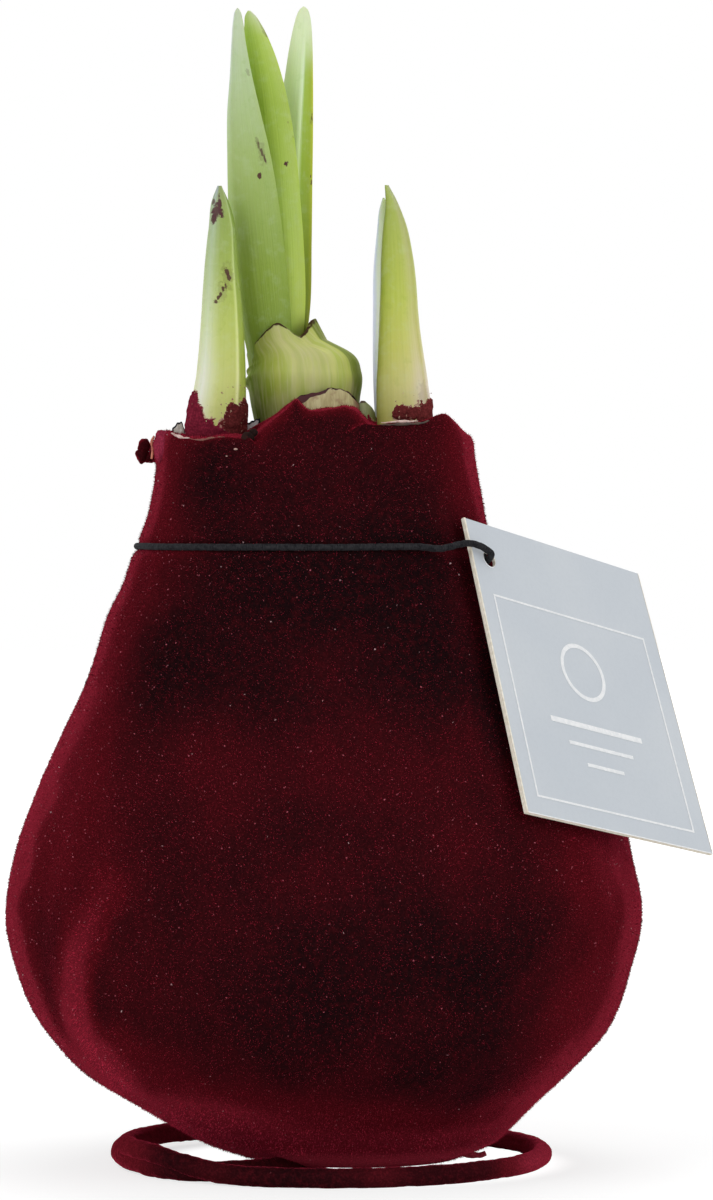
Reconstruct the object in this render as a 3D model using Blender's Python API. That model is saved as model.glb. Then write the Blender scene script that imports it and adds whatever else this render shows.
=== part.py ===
"""A waxed amaryllis bulb with a velvet flock finish, standing on a wire ring.

The flocked bulb carries its leaves and side shoots, the spike of the wire stand goes up into its
base, and a card tag hangs from an elastic cord round its neck.

Lengths are in millimetres here and become metres as each mesh is made. Everything is laid out
round the centre of the wire ring, on the surface that it stands on: +X to the right, +Y away from
the front, +Z up. Angles are in degrees, counted from +X towards +Y. At the end the root empty moves
the model so that the middle of its box stands over the origin.
"""

import math

import bpy
import bmesh
import numpy as np
from mathutils import Vector

MM = 0.001
GAP = 0.3              # clearance between pieces that touch

# Wire stand
WIRE_R = 1.5           # wire with its flock
WIRE_SIDES = 10
RING_R = 31.6          # centre line of the ring
SPOKE_AT = 238.0       # direction in which the spoke leaves the bulb
SPIKE_TOP = 17.0
SPIKE_BEND = 4.0
RING_JOIN = 222.0      # where the spoke has turned into the ring
RING_END = 196.0       # where the free end stops, on top of the first turn
END_LIFT = 2.2
END_OUTSET = 0.4
SOCKET_POINTS = 18     # points of the wire's path that lie under or in the bulb

# Bulb: height, reach to the left and to the right
BULB_SIDES = (
    (1.0, -12.0, 19.0),
    (3.0, -18.2, 23.8),
    (6.3, -24.6, 27.8),
    (9.5, -30.0, 31.0),
    (13.0, -35.9, 34.7),
    (19.8, -42.4, 41.1),
    (28.8, -47.0, 44.9),
    (38.0, -48.8, 46.6),
    (46.5, -47.5, 45.2),
    (55.8, -44.2, 42.6),
    (64.8, -40.0, 38.6),
    (73.8, -35.9, 33.5),
    (82.8, -33.1, 28.9),
    (87.3, -30.9, 26.6),
    (91.8, -29.5, 24.7),
    (98.5, -27.4, 22.7),
    (104.0, -26.5, 21.7),
    (108.0, -26.2, 21.2),
)
BULB_SEGMENTS = 48
BASE_DISH = 3.6        # height of the hollow in the middle of the underside
RIM_TOP = 110.6        # mean height of the rim round the neck
TOP_FLOOR = 109.4      # the flocked top inside the rim
MOUND = (-0.5, -3.0, 8.0, 4.6)   # heap of wax round the collar: x, y, radius, height
RIM_LUMP = (178.0, 107.0, 3.0, 7.0, 2.0)   # direction, height, how far it stands out, half sizes

# Cord and tag
CORD_R = 0.55
CORD_Z = 92.4
CORD_GROOVE = 1.2      # how far the cord presses into the pile
GROOVE_WIDTH = 1.2
KNOT_AT, KNOT_R = 98.0, 1.5
CORD_BEHIND = ((-20.0, 0.5, 0.2), (-25.5, 1.0, 0.6))   # direction, distance out, drop
CORD_OVER = ((3.45, 5.8, 0.9), (2.0, 5.3, 1.1), (-0.6, 5.0, 0.95))   # tag: across, down, out
CORD_RETURN = ((-50.0, 1.3, 0.1), (-56.0, 0.7, 0.0), (-62.0, 0.25, 0.0))
TAG_WIDTH, TAG_HEIGHT, TAG_THICK = 40.0, 48.0, 0.6
TAG_CORNER = (19.2, -15.8, 96.7)       # upper left corner of the front
TAG_TURN, TAG_LEAN, TAG_ROLL = 50.9, 26.6, 13.2
TAG_HOLE = (3.95, 6.05, 1.25)          # across, down, radius

# Leaves: height, middle x, middle y, half width, thickness, depth of the channel
LEAF_LEFT = (
    (117.0, -8.9, -1.4, 3.0, 1.3, 0.9),
    (122.0, -9.3, -1.5, 3.4, 1.4, 1.0),
    (126.0, -9.8, -1.6, 3.8, 1.4, 1.1),
    (136.8, -10.95, -2.1, 3.95, 1.3, 1.2),
    (143.4, -11.6, -2.6, 3.8, 1.2, 1.1),
    (150.9, -12.3, -3.0, 3.25, 1.1, 0.9),
    (157.3, -13.05, -3.2, 2.5, 1.0, 0.7),
    (162.9, -13.5, -3.1, 1.65, 0.9, 0.4),
    (168.0, -13.85, -2.9, 0.95, 0.8, 0.2),
    (172.9, -14.0, -2.6, 0.25, 0.4, 0.0),
)
LEAF_MIDDLE = (
    (117.0, -8.0, 1.0, 2.9, 1.3, 0.9),
    (122.0, -7.9, 1.0, 3.4, 1.4, 1.0),
    (127.0, -7.9, 1.0, 3.9, 1.4, 1.1),
    (138.4, -8.2, 0.9, 4.0, 1.3, 1.2),
    (145.0, -8.6, 0.8, 3.9, 1.2, 1.1),
    (151.5, -9.0, 0.8, 3.7, 1.1, 1.0),
    (157.0, -9.5, 0.7, 3.4, 1.0, 0.9),
    (162.9, -10.2, 0.7, 2.8, 0.9, 0.7),
    (167.4, -11.0, 0.6, 2.1, 0.8, 0.4),
    (171.0, -11.8, 0.6, 1.2, 0.7, 0.2),
    (172.8, -12.3, 0.6, 0.3, 0.4, 0.0),
)
LEAF_RIGHT = (
    (117.0, -6.9, 3.4, 2.3, 1.3, 0.7),
    (122.0, -6.8, 3.5, 2.8, 1.4, 0.8),
    (128.7, -6.6, 3.7, 3.4, 1.3, 1.0),
    (138.0, -6.3, 4.3, 3.3, 1.2, 1.0),
    (147.0, -6.0, 4.9, 3.1, 1.1, 1.0),
    (155.0, -5.6, 5.2, 2.8, 1.0, 0.9),
    (163.0, -4.95, 5.2, 2.15, 0.9, 0.7),
    (168.0, -4.6, 5.0, 1.6, 0.8, 0.4),
    (171.5, -4.35, 4.8, 0.9, 0.7, 0.2),
    (173.8, -4.2, 4.6, 0.25, 0.4, 0.0),
)
SHOOT_BACK = (
    (104.5, 10.3, -0.2, 3.2, 1.0, 0.7),
    (113.7, 10.4, -0.2, 4.0, 1.1, 0.9),
    (120.0, 10.0, -0.4, 3.8, 1.0, 0.9),
    (127.0, 9.5, -0.7, 3.3, 0.9, 0.8),
    (134.0, 9.0, -1.3, 2.7, 0.8, 0.6),
    (139.5, 8.4, -2.1, 1.6, 0.7, 0.3),
    (143.6, 7.8, -2.6, 0.4, 0.4, 0.0),
)

# Solid shoots and buds: height, middle x, middle y, half width, half depth
SHOOT_LEFT = (
    (104.5, -17.0, -8.0, 3.9, 2.9),
    (110.0, -17.1, -8.0, 4.35, 3.1),
    (118.3, -16.35, -8.0, 3.65, 2.8),
    (126.6, -16.2, -7.9, 3.1, 2.4),
    (134.4, -16.3, -7.8, 2.5, 2.0),
    (139.9, -16.2, -7.7, 2.0, 1.6),
    (143.8, -16.5, -7.6, 1.25, 1.0),
    (146.1, -16.6, -7.6, 0.3, 0.3),
)
SHOOT_RIGHT = (
    (104.5, 10.8, -4.6, 3.6, 2.2),
    (113.7, 10.75, -4.6, 4.05, 2.4),
    (117.7, 10.55, -4.6, 3.75, 2.3),
    (125.5, 10.1, -4.6, 3.0, 2.1),
    (130.8, 10.0, -4.6, 2.7, 1.9),
    (135.9, 9.75, -4.6, 2.35, 1.6),
    (140.2, 9.45, -4.6, 1.75, 1.2),
    (143.8, 8.95, -4.5, 0.85, 0.7),
    (146.4, 8.2, -4.4, 0.25, 0.25),
)
SIDE_BUD = (
    (107.5, 5.3, -3.2, 1.3, 1.1),
    (111.5, 5.2, -3.2, 1.5, 1.3),
    (113.3, 5.0, -3.2, 1.1, 0.9),
    (114.3, 4.7, -3.2, 0.3, 0.3),
)
DRY_SCALE = (
    (106.5, -20.9, -2.2, 0.9, 0.7),
    (109.5, -21.6, -2.4, 0.9, 0.6),
    (111.0, -22.6, -2.6, 0.7, 0.4),
)
PAPERY_SCALE = (
    (107.5, -11.5, -4.9, 0.8, 0.5),
    (110.5, -11.5, -5.0, 0.8, 0.4),
    (112.0, -11.6, -5.1, 0.6, 0.3),
)

# Collar of inner scales: height, middle x, half width, half depth
COLLAR_Y = 0.7
COLLAR = (
    (106.0, -3.6, 6.8, 6.2),
    (110.0, -3.8, 7.5, 7.0),
    (114.5, -4.0, 8.2, 7.6),
    (118.6, -4.1, 8.55, 7.8),
    (121.5, -4.7, 7.7, 7.2),
    (123.5, -6.6, 5.9, 6.2),
)
COLLAR_MOUTH = (-7.5, 5.2, 5.4)   # middle x, half width, half depth
COLLAR_SIDES = 28
MOUTH_RIM = (                     # direction and height of the torn rim
    (-180, 121.2), (-135, 123.2), (-95, 125.9), (-60, 123.9), (-20, 126.6),
    (30, 125.5), (90, 124.6), (140, 122.6), (180, 121.2),
)
MOUTH_FLOOR = 121.6
STUB_ARC = (-82.0, -34.0)         # the tan scale's ends, seen from the collar's middle
STUB_TOP, STUB_THICK = 116.2, 1.2
SOCKET_TOP = 120.0                # every socket in the bulb is open at its top


def clear_scene():
    for obj in list(bpy.data.objects):
        bpy.data.objects.remove(obj, do_unlink=True)


def material(name, colour, roughness, metallic=0.0):
    mat = bpy.data.materials.new(name)
    mat.use_nodes = True
    shader = mat.node_tree.nodes["Principled BSDF"]
    shader.inputs["Base Color"].default_value = (*colour, 1.0)
    shader.inputs["Roughness"].default_value = roughness
    shader.inputs["Metallic"].default_value = metallic
    mat.diffuse_color = (*colour, 1.0)
    return mat


def between(table, at):
    """Reads the table's later columns at a value of its first, on a smooth curve through its rows."""
    rows = np.array(table, float)
    x, y = rows[:, 0], rows[:, 1:]
    slope = np.gradient(y, x, axis=0)
    at = np.clip(at, x[0], x[-1])
    i = min(int(np.searchsorted(x, at, side="right")) - 1, len(x) - 2)
    span = x[i + 1] - x[i]
    t = (at - x[i]) / span
    start = (1 + 2 * t) * (1 - t) ** 2 * y[i] + t * (1 - t) ** 2 * span * slope[i]
    end = t * t * (3 - 2 * t) * y[i + 1] + t * t * (t - 1) * span * slope[i + 1]
    return start + end


def add(name, bm, mat, root, smooth=True):
    """Turns a bmesh in millimetres into an object under the root."""
    bmesh.ops.remove_doubles(bm, verts=bm.verts, dist=1e-4)
    bmesh.ops.recalc_face_normals(bm, faces=bm.faces)
    bmesh.ops.scale(bm, vec=(MM, MM, MM), verts=bm.verts)
    mesh = bpy.data.meshes.new(name)
    bm.to_mesh(mesh)
    bm.free()
    if smooth:
        mesh.shade_smooth()
        mesh.set_sharp_from_angle(angle=np.radians(50))
    mesh.materials.append(mat)
    obj = bpy.data.objects.new(name, mesh)
    bpy.context.scene.collection.objects.link(obj)
    obj.parent = root
    return obj


def skin(rings, closed=False):
    """A bmesh through rings of points. A ring of one point is a pole; open ends get a flat cap."""
    bm = bmesh.new()
    loops = [[bm.verts.new(p) for p in ring] for ring in rings]
    pairs = list(zip(loops, loops[1:])) + ([(loops[-1], loops[0])] if closed else [])
    for low, high in pairs:
        count = max(len(low), len(high))
        for i in range(count):
            j = (i + 1) % count
            corners = [low[i % len(low)], low[j % len(low)], high[j % len(high)], high[i % len(high)]]
            bm.faces.new(list(dict.fromkeys(corners)))
    if not closed:
        for loop in (loops[0], loops[-1]):
            if len(loop) > 2:
                bm.faces.new(loop)
    return bm


def cutter(name, bm, root, *targets):
    """A hidden shape that is cut out of the targets."""
    tool = add(name, bm, bpy.data.materials[0], root, smooth=False)
    tool.hide_render = True
    tool.display_type = "WIRE"
    for target in targets:
        cut = target.modifiers.new(name, "BOOLEAN")
        cut.operation = "DIFFERENCE"
        cut.object = tool


def ellipse(x, y, z, half_width, half_depth, sides):
    angles = np.radians(np.arange(sides) * 360 / sides)
    return [(x + half_width * np.cos(a), y + half_depth * np.sin(a), z) for a in angles]


def stem(rows, extra=0.0, sides=14, levels=10, top=None):
    """A solid shoot with oval sections. extra makes it wider all round, for its socket."""
    low, high = rows[0][0] - extra, top or rows[-1][0]
    rings = []
    for z in np.linspace(low, high, levels):
        x, y, half_width, half_depth = between(rows, z)
        rings.append(ellipse(x, y, z, half_width + extra, half_depth + extra, sides))
    return skin(rings)


def blade_section(row, z, extra, steps=5):
    """One level of a leaf: bulging to the front, with its edges behind."""
    x, y, half_width, thick, channel = row
    half_width += extra
    across = np.sin(np.linspace(-90, 90, steps + 2)[1:-1] * np.pi / 180)

    def point(u, side):
        bulge = channel * (1 - u * u)
        wall = (thick / 2 + extra) * np.sqrt(1 - 0.8 * u * u)
        return (x + half_width * u, y - bulge - side * wall, z)

    front = [point(u, 1) for u in across]
    back = [point(u, -1) for u in across[::-1]]
    edges = [(x - half_width, y, z), (x + half_width, y, z)]
    return [edges[0], *front, edges[1], *back]


def blade(rows, extra=0.0, levels=14, top=None):
    low, high = rows[0][0] - extra, top or rows[-1][0]
    return skin([blade_section(between(rows, z), z, extra) for z in np.linspace(low, high, levels)])


def bulb_middle(z):
    left, right = between(BULB_SIDES, z)
    return (left + right) / 2, (right - left) / 2


def lobes(angle, z):
    """Shallow folds down the belly, as the bulb's own scales leave them."""
    a = np.radians(angle)
    belly = np.clip((z - 4) / 20, 0, 1) * np.clip((96 - z) / 30, 0, 1)
    return belly * (0.5 * np.cos(5 * a + 0.6) - 0.3 * np.cos(9 * a)) * np.sin(a) ** 2


def bulb_point(angle, z, inset=0.0):
    middle, reach = bulb_middle(z)
    groove = CORD_GROOVE * np.exp(-(((z - CORD_Z) / GROOVE_WIDTH) ** 2))
    lump_at, lump_z, lump, half_angle, half_height = RIM_LUMP
    lump *= np.exp(-(((angle - lump_at) / half_angle) ** 2) - ((z - lump_z) / half_height) ** 2)
    r = reach + lobes(angle, z) + lump - groove - inset
    a = np.radians(angle)
    return (middle + r * np.cos(a), r * np.sin(a), z)


def top_height(x, y):
    """Height of the flocked top inside the rim, heaped round the collar."""
    mound_x, mound_y, radius, height = MOUND
    reach = np.hypot(x - mound_x, y - mound_y)
    return TOP_FLOOR + height / (1 + np.exp((reach - radius) / 1.5))


def rim_height(angle):
    a = np.radians(angle)
    return RIM_TOP + 0.5 * np.cos(3 * a + 0.8) + 0.5 * np.cos(a + 0.9) + 0.3 * np.cos(7 * a)


def bulb_rings():
    angles = np.arange(BULB_SEGMENTS) * 360 / BULB_SEGMENTS
    base_x, base_r = bulb_middle(BULB_SIDES[0][0])
    rings = [[(base_x, 0, BASE_DISH)]]
    for part, z in ((0.35, BASE_DISH), (0.7, BASE_DISH - 1.0)):
        rings.append(ellipse(base_x, 0, z, base_r * part, base_r * part, BULB_SEGMENTS))
    groove_levels = (CORD_Z - 1.6, CORD_Z - 0.8, CORD_Z, CORD_Z + 0.8, CORD_Z + 1.6)
    levels = (1.0, 2.5, 4.5, 7, 10, 14, 19, 24, 30, 36, 42, 48, 54, 60, 67, 74, 81, 87,
              *groove_levels, 98, 102, 104.5, 107)
    rings += [[bulb_point(a, z) for a in angles] for z in levels]
    rim_z = levels[-1]
    neck_x, neck_r = bulb_middle(rim_z)
    for inset, share in ((1.2, 0.6), (3.4, 1.0)):
        ring = []
        for a in angles:
            x, y, _ = bulb_point(a, rim_z, inset)
            ring.append((x, y, rim_z + share * (rim_height(a) - rim_z)))
        rings.append(ring)
    for inset in (5.0, 9.0, 13.0, 17.0, 20.5):
        ring = ellipse(neck_x, 0, 0, neck_r - inset, neck_r - inset, BULB_SEGMENTS)
        rings.append([(x, y, top_height(x, y)) for x, y, _ in ring])
    rings.append([(neck_x, 0, top_height(neck_x, 0))])
    return rings


def sweep(path, radius, sides, side):
    """A round tube along a path. Its facets keep their place to one side of the path, so where the
    path is level it has a flat underneath."""
    points = [Vector(p) for p in path]
    half_step = 180 / sides
    rings = []
    side = Vector(side)
    for i, here in enumerate(points):
        before, after = points[max(i - 1, 0)], points[min(i + 1, len(points) - 1)]
        along = (after - before).normalized()
        side = (side - along * side.dot(along)).normalized()
        over = side.cross(along)
        ring = []
        for k in range(sides):
            a = math.radians(-90 + half_step + k * 2 * half_step)
            ring.append(here + (side * math.cos(a) + over * math.sin(a)) * radius)
        rings.append(ring)
    return skin(rings)


def spoke_direction():
    return np.array([np.cos(np.radians(SPOKE_AT)), np.sin(np.radians(SPOKE_AT))])


def wire_path(spike_top=SPIKE_TOP):
    """Spike, spoke and ring, and the end that lies on top of where the ring began."""
    foot_x = bulb_middle(BULB_SIDES[0][0])[0]
    level = WIRE_R * np.cos(np.pi / WIRE_SIDES)
    out = spoke_direction()
    path = [(foot_x, 0, z) for z in np.linspace(spike_top, level + SPIKE_BEND, 4)]
    for a in np.radians(np.arange(15, 91, 15)):
        run = SPIKE_BEND * (1 - np.cos(a))
        path.append((foot_x + run * out[0], run * out[1], level + SPIKE_BEND * (1 - np.sin(a))))
    # the spoke runs out and turns along the ring on a smooth curve
    start = np.array([foot_x, 0]) + SPIKE_BEND * out
    join = np.radians(RING_JOIN)
    finish = RING_R * np.array([np.cos(join), np.sin(join)])
    tangent = np.array([np.sin(join), -np.cos(join)])
    reach = np.linalg.norm(finish - start)
    for t in np.linspace(0, 1, 9)[1:]:
        spot = (
            (1 + 2 * t) * (1 - t) ** 2 * start + t * (1 - t) ** 2 * reach * 1.2 * out
            + t * t * (3 - 2 * t) * finish + t * t * (t - 1) * reach * 1.2 * tangent
        )
        path.append((*spot, level))
    turn = RING_JOIN - (RING_END - 360)
    for angle in np.linspace(RING_JOIN, RING_END - 360, 64)[1:]:
        gone = (RING_JOIN - angle) / turn
        climb = np.clip((gone - 0.8) / 0.12, 0, 1)
        climb = climb * climb * (3 - 2 * climb)
        r = RING_R + END_OUTSET * climb
        a = np.radians(angle)
        path.append((r * np.cos(a), r * np.sin(a), level + END_LIFT * climb))
    return path


def wire(path, radius):
    out = spoke_direction()
    return sweep(path, radius, WIRE_SIDES, (-out[1], out[0], 0))


def collar_rings():
    rings = []
    for z in np.linspace(COLLAR[0][0], COLLAR[-1][0], 9):
        x, half_width, half_depth = between(COLLAR, z)
        rings.append(ellipse(x, COLLAR_Y, z, half_width, half_depth, COLLAR_SIDES))
    mouth_x, half_width, half_depth = COLLAR_MOUTH
    ring = []
    for x, y, _ in ellipse(mouth_x, COLLAR_Y, 0, half_width, half_depth, COLLAR_SIDES):
        angle = np.degrees(np.arctan2((y - COLLAR_Y) / half_depth, (x - mouth_x) / half_width))
        ring.append((x, y, between(MOUTH_RIM, angle)[0]))
    rings.append(ring)
    # the lower left of the mouth pulls the levels under it down with it
    for k in range(len(rings) - 2, 4, -1):
        rings[k] = [
            (x, y, min(z, above[2] - 0.8)) for (x, y, z), above in zip(rings[k], rings[k + 1])
        ]
    rings.append([(mouth_x, COLLAR_Y, MOUTH_FLOOR)])
    return rings


def stub(extra=0.0, top=STUB_TOP, low=107.0):
    """The tan scale: a curved slat that follows the front of the collar."""
    middle, half_width, half_depth = between(COLLAR, 115.0)
    start, end = STUB_ARC
    widen = np.degrees(extra / half_width)
    angles = np.radians(np.linspace(start - widen, end + widen, 7))
    inner = max(half_width, half_depth) + GAP - extra
    outer = inner + STUB_THICK + 2 * extra

    def ring(z):
        near = [(middle + inner * np.cos(a), COLLAR_Y + inner * np.sin(a), z) for a in angles]
        far = [(middle + outer * np.cos(a), COLLAR_Y + outer * np.sin(a), z) for a in angles[::-1]]
        return near + far

    return skin([ring(z) for z in np.linspace(low - extra, top, 5)])


def tag_axes():
    turn, lean, roll = np.radians([TAG_TURN, TAG_LEAN, TAG_ROLL])
    front = np.array([np.sin(turn) * np.cos(lean), -np.cos(turn) * np.cos(lean), np.sin(lean)])
    level = np.array([np.cos(turn), np.sin(turn), 0])
    climb = np.array([-np.sin(turn) * np.sin(lean), np.cos(turn) * np.sin(lean), np.cos(lean)])
    across = np.cos(roll) * level - np.sin(roll) * climb
    down = -(np.sin(roll) * level + np.cos(roll) * climb)
    return across, down, front


def tag_point(across, down, out=0.0):
    """A point of the tag: across and down from its corner, and out from its front."""
    axis_across, axis_down, front = tag_axes()
    return np.array(TAG_CORNER) + across * axis_across + down * axis_down + out * front


def tag_plate():
    corners = [(0, 0), (TAG_WIDTH, 0), (TAG_WIDTH, TAG_HEIGHT), (0, TAG_HEIGHT)]
    return skin([[tag_point(a, d, out) for a, d in corners] for out in (0.0, -TAG_THICK)])


def tag_drill():
    across, down, radius = TAG_HOLE
    rings = []
    for out in (1.0, -TAG_THICK - 1.0):
        angles = np.radians(np.arange(16) * 22.5)
        rings.append([
            tag_point(across + radius * np.cos(a), down + radius * np.sin(a), out) for a in angles
        ])
    return skin(rings)


def cord_route():
    """Round the neck in its groove, out through the tag's hole from behind and back over its edge."""
    hole_across, hole_down, _ = TAG_HOLE
    middle, reach = bulb_middle(CORD_Z)
    r = reach - CORD_GROOVE + 1.6 * GAP + CORD_R

    def neck(angle, out=0.0, lower=0.0):
        a = np.radians(angle)
        return (middle + (r + out) * np.cos(a), (r + out) * np.sin(a), CORD_Z - lower)

    route = [neck(a) for a in np.arange(KNOT_AT - 4.5, -14, -9)]
    route += [neck(*spot) for spot in CORD_BEHIND]
    route.append(tag_point(hole_across + 0.1, hole_down, -TAG_THICK - 0.5))
    route.append(tag_point(hole_across, hole_down, -TAG_THICK / 2))
    route += [tag_point(*spot) for spot in CORD_OVER]
    route += [neck(*spot) for spot in CORD_RETURN]
    route += [neck(a) for a in np.arange(-71, KNOT_AT - 360 + 4.5, -9)]
    route.append(neck(KNOT_AT - 360 + 4.5))
    return np.array(route)


def smooth_path(points, spacing):
    """The points joined by a smooth curve, read at even steps."""
    gone = np.concatenate([[0], np.cumsum(np.linalg.norm(np.diff(points, axis=0), axis=1))])
    table = np.column_stack([gone, points])
    return [between(table, at) for at in np.linspace(0, gone[-1], int(gone[-1] / spacing) + 1)]


def cord(name, path, mat, root):
    curve = bpy.data.curves.new(name, "CURVE")
    curve.dimensions = "3D"
    curve.bevel_depth = CORD_R * MM
    curve.bevel_resolution = 2
    curve.use_fill_caps = True
    spline = curve.splines.new("POLY")
    spline.points.add(len(path) - 1)
    for knot, place in zip(spline.points, path):
        knot.co = (*(np.array(place) * MM), 1)
    curve.materials.append(mat)
    obj = bpy.data.objects.new(name, curve)
    bpy.context.scene.collection.objects.link(obj)
    obj.parent = root


def weld_end(stand, root):
    """The ring's end sinks a little into the first turn below it, and the flock makes them one."""
    a = np.radians((RING_JOIN + RING_END) / 2)
    bm = bmesh.new()
    bmesh.ops.create_icosphere(bm, subdivisions=1, radius=0.6)
    middle = (RING_R * np.cos(a), RING_R * np.sin(a), WIRE_R)
    bmesh.ops.translate(bm, verts=bm.verts, vec=middle)
    bead = add("weld_bead", bm, bpy.data.materials[0], root)
    bead.hide_render = True
    bead.display_type = "WIRE"
    join = stand.modifiers.new("weld", "BOOLEAN")
    join.operation = "UNION"
    join.use_self = True
    join.object = bead


def knot():
    """A small round knot between the cord's two ends."""
    middle, reach = bulb_middle(CORD_Z)
    r = reach + 1.6
    a = np.radians(KNOT_AT)
    bm = bmesh.new()
    bmesh.ops.create_icosphere(bm, subdivisions=2, radius=KNOT_R)
    bmesh.ops.translate(bm, verts=bm.verts, vec=(middle + r * np.cos(a), r * np.sin(a), CORD_Z))
    return bm


def centre_on_origin(root):
    """Moves the root so that the middle of the model's underside is the origin."""
    spots = [
        obj.matrix_local @ v.co
        for obj in root.children if obj.type == "MESH" and not obj.hide_render
        for v in obj.data.vertices
    ]
    low = [min(p[k] for p in spots) for k in range(3)]
    high = [max(p[k] for p in spots) for k in range(3)]
    root.location = (-(low[0] + high[0]) / 2, -(low[1] + high[1]) / 2, -low[2])


def build():
    clear_scene()
    velvet = material("velvet_flock", (0.10, 0.004, 0.010), 0.95)
    green = material("leaf_green", (0.33, 0.42, 0.13), 0.45)
    pale_green = material("shoot_green", (0.45, 0.50, 0.18), 0.45)
    collar_green = material("scale_green", (0.42, 0.44, 0.17), 0.5)
    tan = material("dry_scale", (0.23, 0.15, 0.075), 0.7)
    card = material("card", (0.56, 0.60, 0.64), 0.5)
    elastic = material("cord", (0.02, 0.02, 0.022), 0.8)

    root = bpy.data.objects.new("root", None)
    bpy.context.scene.collection.objects.link(root)

    bulb = add("flocked_bulb", skin(bulb_rings()), velvet, root)
    collar = add("scale_collar", skin(collar_rings()), collar_green, root)
    stand = add("wire_stand", wire(wire_path(), WIRE_R), velvet, root)
    weld_end(stand, root)
    add("scale_stub", stub(), tan, root, smooth=False)

    leaves = (("leaf_left", LEAF_LEFT), ("leaf_middle", LEAF_MIDDLE), ("leaf_right", LEAF_RIGHT))
    for name, rows in leaves:
        add(name, blade(rows), green, root)
        cutter("socket_" + name, blade(rows, GAP, levels=6, top=130.0), root, collar)

    add("shoot_right_back", blade(SHOOT_BACK), pale_green, root)
    cutter("socket_shoot_right_back", blade(SHOOT_BACK, GAP, levels=6, top=SOCKET_TOP), root, bulb)
    stems = (
        ("shoot_left", SHOOT_LEFT, pale_green, 10),
        ("shoot_right_front", SHOOT_RIGHT, pale_green, 10),
        ("side_bud", SIDE_BUD, pale_green, 5),
        ("dry_scale", DRY_SCALE, tan, 4),
        ("papery_scale", PAPERY_SCALE, tan, 4),
    )
    for name, rows, mat, levels in stems:
        add(name, stem(rows, levels=levels), mat, root)
        cutter("socket_" + name, stem(rows, GAP, levels=9, top=SOCKET_TOP), root, bulb)
    cutter("socket_scale_stub", stub(GAP, SOCKET_TOP, 107.0), root, bulb)
    collar_foot = skin([
        ellipse(x, COLLAR_Y, z, half_width + GAP, half_depth + GAP, COLLAR_SIDES)
        for z in (COLLAR[0][0] - GAP, 110.0, 114.0, SOCKET_TOP)
        for x, half_width, half_depth in [between(COLLAR, z)]
    ])
    cutter("socket_scale_collar", collar_foot, root, bulb)
    spike = wire_path(SPIKE_TOP + GAP)[:SOCKET_POINTS]
    cutter("socket_wire", wire(spike, WIRE_R + GAP), root, bulb)

    plate = add("tag", tag_plate(), card, root, smooth=False)
    cutter("tag_drill", tag_drill(), root, plate)
    cord("tag_cord", smooth_path(cord_route(), 2.4), elastic, root)
    add("cord_knot", knot(), elastic, root)
    centre_on_origin(root)


build()
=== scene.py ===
"""The looks of a waxed amaryllis bulb with a velvet flock finish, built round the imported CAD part.

Shapes are laid out in millimetres round the centre of the wire ring, on the surface that it stands
on, as the CAD part is: +X right, +Y away, +Z up. HOME carries them into the part's frame, and comes
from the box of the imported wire. Angles are in degrees, counted from +X towards +Y.
"""

import itertools

import bpy
import numpy as np
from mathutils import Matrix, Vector


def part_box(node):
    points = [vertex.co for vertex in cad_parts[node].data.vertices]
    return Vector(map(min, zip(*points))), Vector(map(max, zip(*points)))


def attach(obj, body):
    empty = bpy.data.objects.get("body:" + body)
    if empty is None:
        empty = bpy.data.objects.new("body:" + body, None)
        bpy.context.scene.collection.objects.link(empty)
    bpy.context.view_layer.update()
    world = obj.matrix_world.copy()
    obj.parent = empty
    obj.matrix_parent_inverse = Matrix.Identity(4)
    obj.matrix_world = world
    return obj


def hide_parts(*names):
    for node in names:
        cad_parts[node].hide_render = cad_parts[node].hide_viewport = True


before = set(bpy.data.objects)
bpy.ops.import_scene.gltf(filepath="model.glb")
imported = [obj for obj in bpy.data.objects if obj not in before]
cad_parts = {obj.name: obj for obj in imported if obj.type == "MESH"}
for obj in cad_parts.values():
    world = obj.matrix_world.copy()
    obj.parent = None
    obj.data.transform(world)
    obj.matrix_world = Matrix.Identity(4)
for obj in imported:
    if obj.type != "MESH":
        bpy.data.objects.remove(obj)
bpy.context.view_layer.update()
MM = 0.001
RING_LOW, RING_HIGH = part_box("wire_stand")
HOME = np.array([(RING_LOW.x + RING_HIGH.x) / 2, (RING_LOW.y + RING_HIGH.y) / 2, RING_LOW.z])

# ---- sizes, as in the CAD part, with finer tips on the leaves

WIRE_R = 1.5
WIRE_SIDES = 10          # of the CAD wire, which rests on one of them
RING_R = 31.6
SPOKE_AT = 238
SPIKE_TOP = 17
SPIKE_BEND = 4
RING_JOIN = 222
RING_END = 196
END_LIFT = 2.2
END_OUTSET = 0.4

# The bulb's outline from the front: height, left and right
BULB_SIDES = (
    (1, -12, 19), (3, -18.2, 23.8), (6.3, -24.6, 27.8), (9.5, -30, 31), (13, -35.9, 34.7),
    (19.8, -42.4, 41.1), (28.8, -47, 44.9), (38, -48.8, 46.6), (46.5, -47.5, 45.2), (55.8, -44.2, 42.6),
    (64.8, -40, 38.6), (73.8, -35.9, 33.5), (82.8, -33.1, 28.9), (87.3, -30.9, 26.6),
    (91.8, -29.5, 24.7), (98.5, -27.4, 22.7), (104, -26.5, 21.7), (108, -26.2, 21.2),
)
BASE_DISH = 3.6
CORD_R = 0.55
CORD_Z = 92.4
KNOT_AT = 98
# The cord's way to the tag and back: direction, how far out of its seat and how much lower
CORD_BEHIND = ((-20, 0.5, 0.2), (-25.5, 1, 0.6))
CORD_RETURN = ((-50, 1.3, 0.1), (-56, 0.7, 0), (-62, 0.25, 0))
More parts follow.
